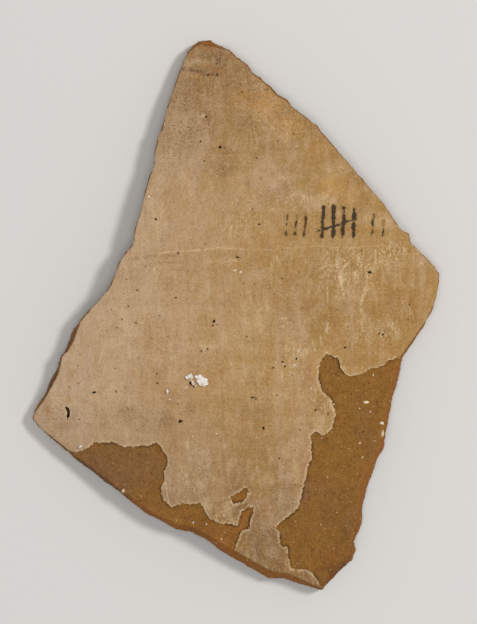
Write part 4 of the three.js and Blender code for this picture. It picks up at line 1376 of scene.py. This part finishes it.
class OSTRACON_OT_lime_crusts(bpy.types.Operator):
    """Make the lumps and specks of burial lime"""

    bl_idname = "ostracon.lime_crusts"
    bl_label = "Lime crusts"

    def execute(self, context):
        c = colours()
        material = chalk_material("burial_lime", c.lime, c.slip_pale)
        for k, name in enumerate(CRUSTS):
            mesh = cluster(name, CRUST_FACET, CRUST_RELIEF, CRUST_SEED + 2 * k, BOND_GAP + CRUST_SINK)
            new_piece(name.replace("lime_crust", "burial_lime"), mesh, material, (name,))
        new_piece("burial_lime_specks", self.specks(), material)
        return {"FINISHED"}

    def specks(self):
        """Small lumps of lime, each on what lies under its pixel."""
        bm = bmesh.new()
        ground = ground_tree()
        for k, (x_px, y_px, radius_px) in enumerate(LIME_SPECKS_PX):
            place = ground.ray_cast((*spot(x_px, y_px), RAY_START), DOWN)[0]
            reach = Vector((1, 1, SPECK_FLATNESS)) * radius_px * PIXEL
            made = bmesh.ops.create_icosphere(bm, subdivisions=3, radius=1.0)
            for v in made["verts"]:
                swell = 1 + 0.35 * noise.fractal(v.co * 1.3 + Vector((k * 5.1, 0, 0)), 1.0, 2.0, 3)
                v.co = place + v.co * swell * reach
        return mesh_of(bm, "specks")


class OSTRACON_OT_limestone_grits(bpy.types.Operator):
    """Make the larger limestone grains in the bare clay"""

    bl_idname = "ostracon.limestone_grits"
    bl_label = "Limestone grains"

    def execute(self, context):
        c = colours()
        clean = chalk_material("limestone", c.grit, c.clay)
        stained = chalk_material("stained_limestone", c.slip_pale, c.clay)
        for k, name in enumerate(GRITS):
            material = stained if name == STAINED_GRIT else clean
            mesh = chip(name, GRIT_FACET, GRIT_RELIEF, GRIT_SEED + 2 * k)
            new_piece(name.replace("grit", "grain"), mesh, material, (name,))
        return {"FINISHED"}


def ground_tree():
    """The dressed clay and slip, to find what lies under a place."""
    bm = bmesh.new()
    for name in ("clay", "slip"):
        bm.from_mesh(bpy.data.objects[name].data)
    tree = BVHTree.FromBMesh(bm)
    bm.free()
    return tree


def node_group(name, inputs):
    """A geometry node tree with a geometry in and out, and named inputs of a kind and a default."""
    tree = bpy.data.node_groups.new(name, "GeometryNodeTree")
    tree.interface.new_socket("Geometry", in_out="INPUT", socket_type="NodeSocketGeometry")
    for label, (kind, default) in inputs.items():
        socket = tree.interface.new_socket(label, in_out="INPUT", socket_type="NodeSocket" + kind)
        if default is not None:
            socket.default_value = default
    tree.interface.new_socket("Geometry", in_out="OUTPUT", socket_type="NodeSocketGeometry")
    w = Wiring(tree)
    return tree, w, w.node("NodeGroupInput").outputs


def run_nodes(carrier, tree, values):
    """Apply a node tree to a carrier, with its inputs set by their sockets' identifiers."""
    modifier = carrier.modifiers.new("Nodes", "NODES")
    modifier.node_group = tree
    for item in tree.interface.items_tree:
        if item.in_out == "INPUT" and item.name in values:
            modifier[item.identifier] = values[item.name]
    return evaluated_mesh(carrier)


def end_tree(w, geometry, material):
    """Make what a tree has built real, and give it its material."""
    real = w.out("GeometryNodeRealizeInstances", {"Geometry": geometry})
    done = w.out("GeometryNodeSetMaterial", {"Geometry": real, "Material": material})
    w.node("NodeGroupOutput", {"Geometry": done})


def stored_on(w, geometry, name, value, domain):
    """A geometry with a named number on each item of a domain."""
    inputs = {"Geometry": geometry, "Name": name, "Value": value}
    return w.out("GeometryNodeStoreNamedAttribute", inputs, data_type="FLOAT", domain=domain)


def temper_tree():
    """Grains set at random into a surface, more where it stores a larger grain share."""
    tree, w, given = node_group("temper_grains", {
        "Grains per Area": ("Float", 0.3e6),
        "Smallest Radius": ("Float", 0.08 * MM),
        "Largest Radius": ("Float", 0.24 * MM),
        "Seed": ("Int", 3),
        "Material": ("Material", None),
    })
    share = w.out("GeometryNodeInputNamedAttribute", {"Name": "grain_share"}, data_type="FLOAT")
    density = w.times(share, given["Grains per Area"])
    scatter = w.node("GeometryNodeDistributePointsOnFaces", {
        "Mesh": given["Geometry"], "Density": density, "Seed": given["Seed"],
    })
    radius = random_value(w, "FLOAT", given["Smallest Radius"], given["Largest Radius"], 1)
    shape = random_value(w, "FLOAT_VECTOR", (0.7, 0.7, 0.5), (1.2, 1.2, 0.9), 2)
    scale = w.out("ShaderNodeVectorMath", {0: shape, "Scale": radius}, operation="SCALE")
    turn = random_value(w, "FLOAT_VECTOR", (0, 0, 0), (6.28, 6.28, 6.28), 3)
    grain = w.out("GeometryNodeMeshIcoSphere", {"Radius": 1.0, "Subdivisions": 1})
    placed = w.out("GeometryNodeInstanceOnPoints", {
        "Points": scatter.outputs["Points"], "Instance": grain, "Rotation": turn, "Scale": scale,
    })
    tint = random_value(w, "FLOAT", 0.0, 1.0, 4)
    end_tree(w, stored_on(w, placed, "tint", tint, "INSTANCE"), given["Material"])
    return tree


def random_value(w, kind, low, high, seed):
    """A random value for each point, between two bounds."""
    node = w.node("FunctionNodeRandomValue", data_type=kind)
    bounds = [s for s in node.inputs if s.enabled and s.name in ("Min", "Max")]
    for socket, value in zip(bounds, (low, high)):
        w.feed(socket, value)
    w.feed(node.inputs["Seed"], seed)
    return next(s for s in node.outputs if s.enabled)


class OSTRACON_OT_temper_grains(bpy.types.Operator):
    """Scatter the small temper grains over the bare and broken clay"""

    bl_idname = "ostracon.temper_grains"
    bl_label = "Temper grains"

    def execute(self, context):
        s = sizes()
        material = grain_material()
        values = {
            "Grains per Area": s.grains_per_mm2 / (MM * MM), "Smallest Radius": 0.35 * s.grain_radius,
            "Largest Radius": s.grain_radius, "Seed": 7, "Material": material,
        }
        carrier = linked("carrier", bpy.data.objects["clay"].data.copy())
        mesh = run_nodes(carrier, temper_tree(), values)
        write_points(mesh, read_points(mesh))
        new_piece("temper_grains", mesh, material)
        return {"FINISHED"}


def tally_tree():
    """Brush strokes along curves, laid on a surface as a thin film that is thickest in the middle."""
    tree, w, given = node_group("tally_strokes", {
        "Surface": ("Object", None),
        "Stroke Width": ("Float", 1.2 * MM),
        "Film Thickness": ("Float", 0.05 * MM),
        "Step": ("Float", 0.2 * MM),
        "Seed": ("Float", 2.0),
        "Material": ("Material", None),
    })
    here = w.out("GeometryNodeInputPosition")

    def wave(size, detail):
        inputs = {"Vector": here, "W": given["Seed"], "Scale": 1 / size, "Detail": detail}
        return w.node("ShaderNodeTexNoise", inputs, noise_dimensions="4D").outputs

    inputs = {"Curve": given["Geometry"], "Length": given["Step"]}
    fine = w.out("GeometryNodeResampleCurve", inputs, mode="LENGTH")
    inputs = {0: wave(5 * MM, 2.0)["Color"], 1: (0.5, 0.5, 0.5)}
    centred = w.out("ShaderNodeVectorMath", inputs, operation="SUBTRACT")
    sway = w.out("ShaderNodeVectorMath", {0: centred, 1: STROKE_SWAY}, operation="MULTIPLY")
    swayed = w.out("GeometryNodeSetPosition", {"Geometry": fine, "Offset": sway})
    along = w.node("GeometryNodeSplineParameter").outputs["Factor"]
    ends = w.times(w.between(along, 0.0, 0.07, 0.45, 1.0), w.between(along, 1.0, 0.82, 0.35, 1.0))
    swell = w.times(ends, w.between(wave(1.4 * MM, 3.0)["Fac"], 0.3, 0.7, 0.78, 1.18))
    own = w.out("GeometryNodeInputRadius")
    reach = w.times(given["Stroke Width"], 0.5)
    half = w.times(w.times(own, swell), reach)
    sized = w.out("GeometryNodeSetCurveRadius", {"Curve": swayed, "Radius": half})
    ring = w.out("GeometryNodeCurvePrimitiveCircle", {"Resolution": 12, "Radius": 1.0}, mode="RADIUS")
    inputs = {"Curve": sized, "Profile Curve": ring, "Fill Caps": True}
    brush = w.node("GeometryNodeCurveToMesh", inputs)
    if "Scale" in brush.inputs:
        w.feed(brush.inputs["Scale"], own)
    x, y, z = w.split(here)
    body = w.math("DIVIDE", w.math("ABSOLUTE", z), reach)
    marked = stored_on(w, brush.outputs[0], "body", body, "POINT")
    surface = w.node("GeometryNodeObjectInfo", {"Object": given["Surface"]}).outputs["Geometry"]
    ray = w.node("GeometryNodeRaycast", {
        "Target Geometry": surface, "Source Position": w.joined(x, y, RAY_START), "Ray Direction": DOWN,
        "Ray Length": 2 * RAY_START,
    })
    landed = w.split(ray.outputs["Hit Position"])[2]
    lift = w.times(w.math("DIVIDE", z, reach), w.times(given["Film Thickness"], 0.5))
    level = w.plus(w.plus(landed, lift), FILM_LIFT)
    laid = w.out("GeometryNodeSetPosition", {"Geometry": marked, "Position": w.joined(x, y, level)})
    end_tree(w, laid, given["Material"])
    return tree


class OSTRACON_OT_tally_strokes(bpy.types.Operator):
    """Brush a few plain tally strokes on the slip"""

    bl_idname = "ostracon.tally_strokes"
    bl_label = "Tally strokes"

    def execute(self, context):
        s = sizes()
        curves = bpy.data.curves.new("strokes", "CURVE")
        curves.dimensions = "3D"
        ends = np.array([[spot(x0, y0), spot(x1, y1)] for x0, y0, x1, y1, _ in TALLY_STROKES_PX])
        if not covered(ends.reshape(-1, 2)).all():
            raise RuntimeError("a tally stroke runs off the slip")
        for pair, (*_, width) in zip(ends, TALLY_STROKES_PX):
            spline = curves.splines.new("POLY")
            spline.points.add(1)
            for point, place in zip(spline.points, pair):
                point.co = (*place, 0, 1)
                point.radius = width
        material = ink_material()
        values = {
            "Surface": bpy.data.objects["slip"], "Stroke Width": s.stroke_width,
            "Film Thickness": s.film_thickness, "Step": 0.18 * MM, "Seed": 2.0, "Material": material,
        }
        mesh = run_nodes(linked("carrier", curves), tally_tree(), values)
        new_piece("tally_strokes", mesh, material)
        return {"FINISHED"}


class OSTRACON_OT_stage(bpy.types.Operator):
    """Set out the floor, the soft light and the camera straight above"""

    bl_idname = "ostracon.stage"
    bl_label = "Stage"

    def execute(self, context):
        self.floor()
        for lamp in LAMPS:
            self.light(*lamp)
        self.world(context)
        self.camera(context)
        return {"FINISHED"}

    def floor(self):
        bm = bmesh.new()
        bmesh.ops.create_grid(bm, x_segments=1, y_segments=1, size=FLOOR_SIZE / 2)
        bmesh.ops.translate(bm, verts=bm.verts, vec=(0, 0, -FLOOR_DROP))
        mesh = mesh_of(bm, "floor")
        material, w, c = wiring_of("pale_floor")
        weave = w.noise(0.8, 2, 0.5)
        w.base = w.mix(w.between(weave, 0.3, 0.7, 0, 0.05), c.floor, shade(c.floor, 0.85))
        w.finish(0.9, weave, 0.01, 0.3)
        mesh.materials.append(material)
        linked("floor", mesh)

    def light(self, name, direction, distance, size, power):
        lamp = bpy.data.lights.new(name, "AREA")
        lamp.shape = "DISK"
        lamp.size = size
        lamp.energy = power
        stand = linked(name, lamp)
        away = Vector(direction).normalized()
        stand.location = away * distance
        stand.rotation_euler = away.to_track_quat("Z", "Y").to_euler()

    def world(self, context):
        world = bpy.data.worlds.new("room")
        world.use_nodes = True
        w = Wiring(world.node_tree)
        path = w.node("ShaderNodeLightPath").outputs
        seen = w.larger(path["Is Camera Ray"], path["Is Glossy Ray"])
        seen = w.larger(seen, path["Is Transmission Ray"])
        strength = w.plus(w.times(seen, BACKGROUND_STRENGTH - FILL_STRENGTH), FILL_STRENGTH)
        room = w.out("ShaderNodeBackground", {"Color": (1, 1, 1), "Strength": strength})
        w.node("ShaderNodeOutputWorld", {"Surface": room})
        context.scene.world = world

    def camera(self, context):
        lens = bpy.data.cameras.new("camera")
        lens.sensor_width = SENSOR_WIDTH_MM
        lens.lens = SENSOR_WIDTH_MM * (CAMERA_HEIGHT - CAMERA_TARGET_HEIGHT) / (FRAME_HEIGHT_PX * PIXEL)
        lens.clip_start, lens.clip_end = 0.05, 20
        camera = linked("camera", lens)
        camera.location = (*spot(FRAME_WIDTH_PX / 2, FRAME_HEIGHT_PX / 2), CAMERA_HEIGHT)
        context.scene.camera = camera
        context.scene.view_settings.view_transform = "Standard"


STEPS = (
    OSTRACON_OT_clay_body, OSTRACON_OT_outer_slip, OSTRACON_OT_lime_crusts, OSTRACON_OT_limestone_grits,
    OSTRACON_OT_temper_grains, OSTRACON_OT_tally_strokes, OSTRACON_OT_stage,
)


class OSTRACON_PT_panel(bpy.types.Panel):
    """The steps, sizes and colours of the sherd"""

    bl_idname = "OSTRACON_PT_panel"
    bl_label = "Ostracon"
    bl_space_type = "VIEW_3D"
    bl_region_type = "UI"
    bl_category = "Ostracon"

    def draw(self, context):
        for step in STEPS:
            self.layout.operator(step.bl_idname)
        for group in (context.scene.ostracon_sizes, context.scene.ostracon_colours):
            box = self.layout.box()
            for name in group.bl_rna.properties.keys():
                if name not in ("rna_type", "name"):
                    box.prop(group, name)


CLASSES = (OstraconSizes, OstraconColours, *STEPS, OSTRACON_PT_panel)


def register():
    for cls in CLASSES:
        bpy.utils.register_class(cls)
    bpy.types.Scene.ostracon_sizes = bpy.props.PointerProperty(type=OstraconSizes)
    bpy.types.Scene.ostracon_colours = bpy.props.PointerProperty(type=OstraconColours)


def unregister():
    del bpy.types.Scene.ostracon_sizes
    del bpy.types.Scene.ostracon_colours
    for cls in reversed(CLASSES):
        bpy.utils.unregister_class(cls)


def corners(box):
    return [list(corner) for corner in box]


def main():
    register()
    bpy.ops.ostracon.clay_body()
    bpy.ops.ostracon.outer_slip()
    bpy.ops.ostracon.lime_crusts()
    bpy.ops.ostracon.limestone_grits()
    bpy.ops.ostracon.temper_grains()
    bpy.ops.ostracon.tally_strokes()
    bpy.ops.ostracon.stage()


if __name__ == "__main__":
    main()
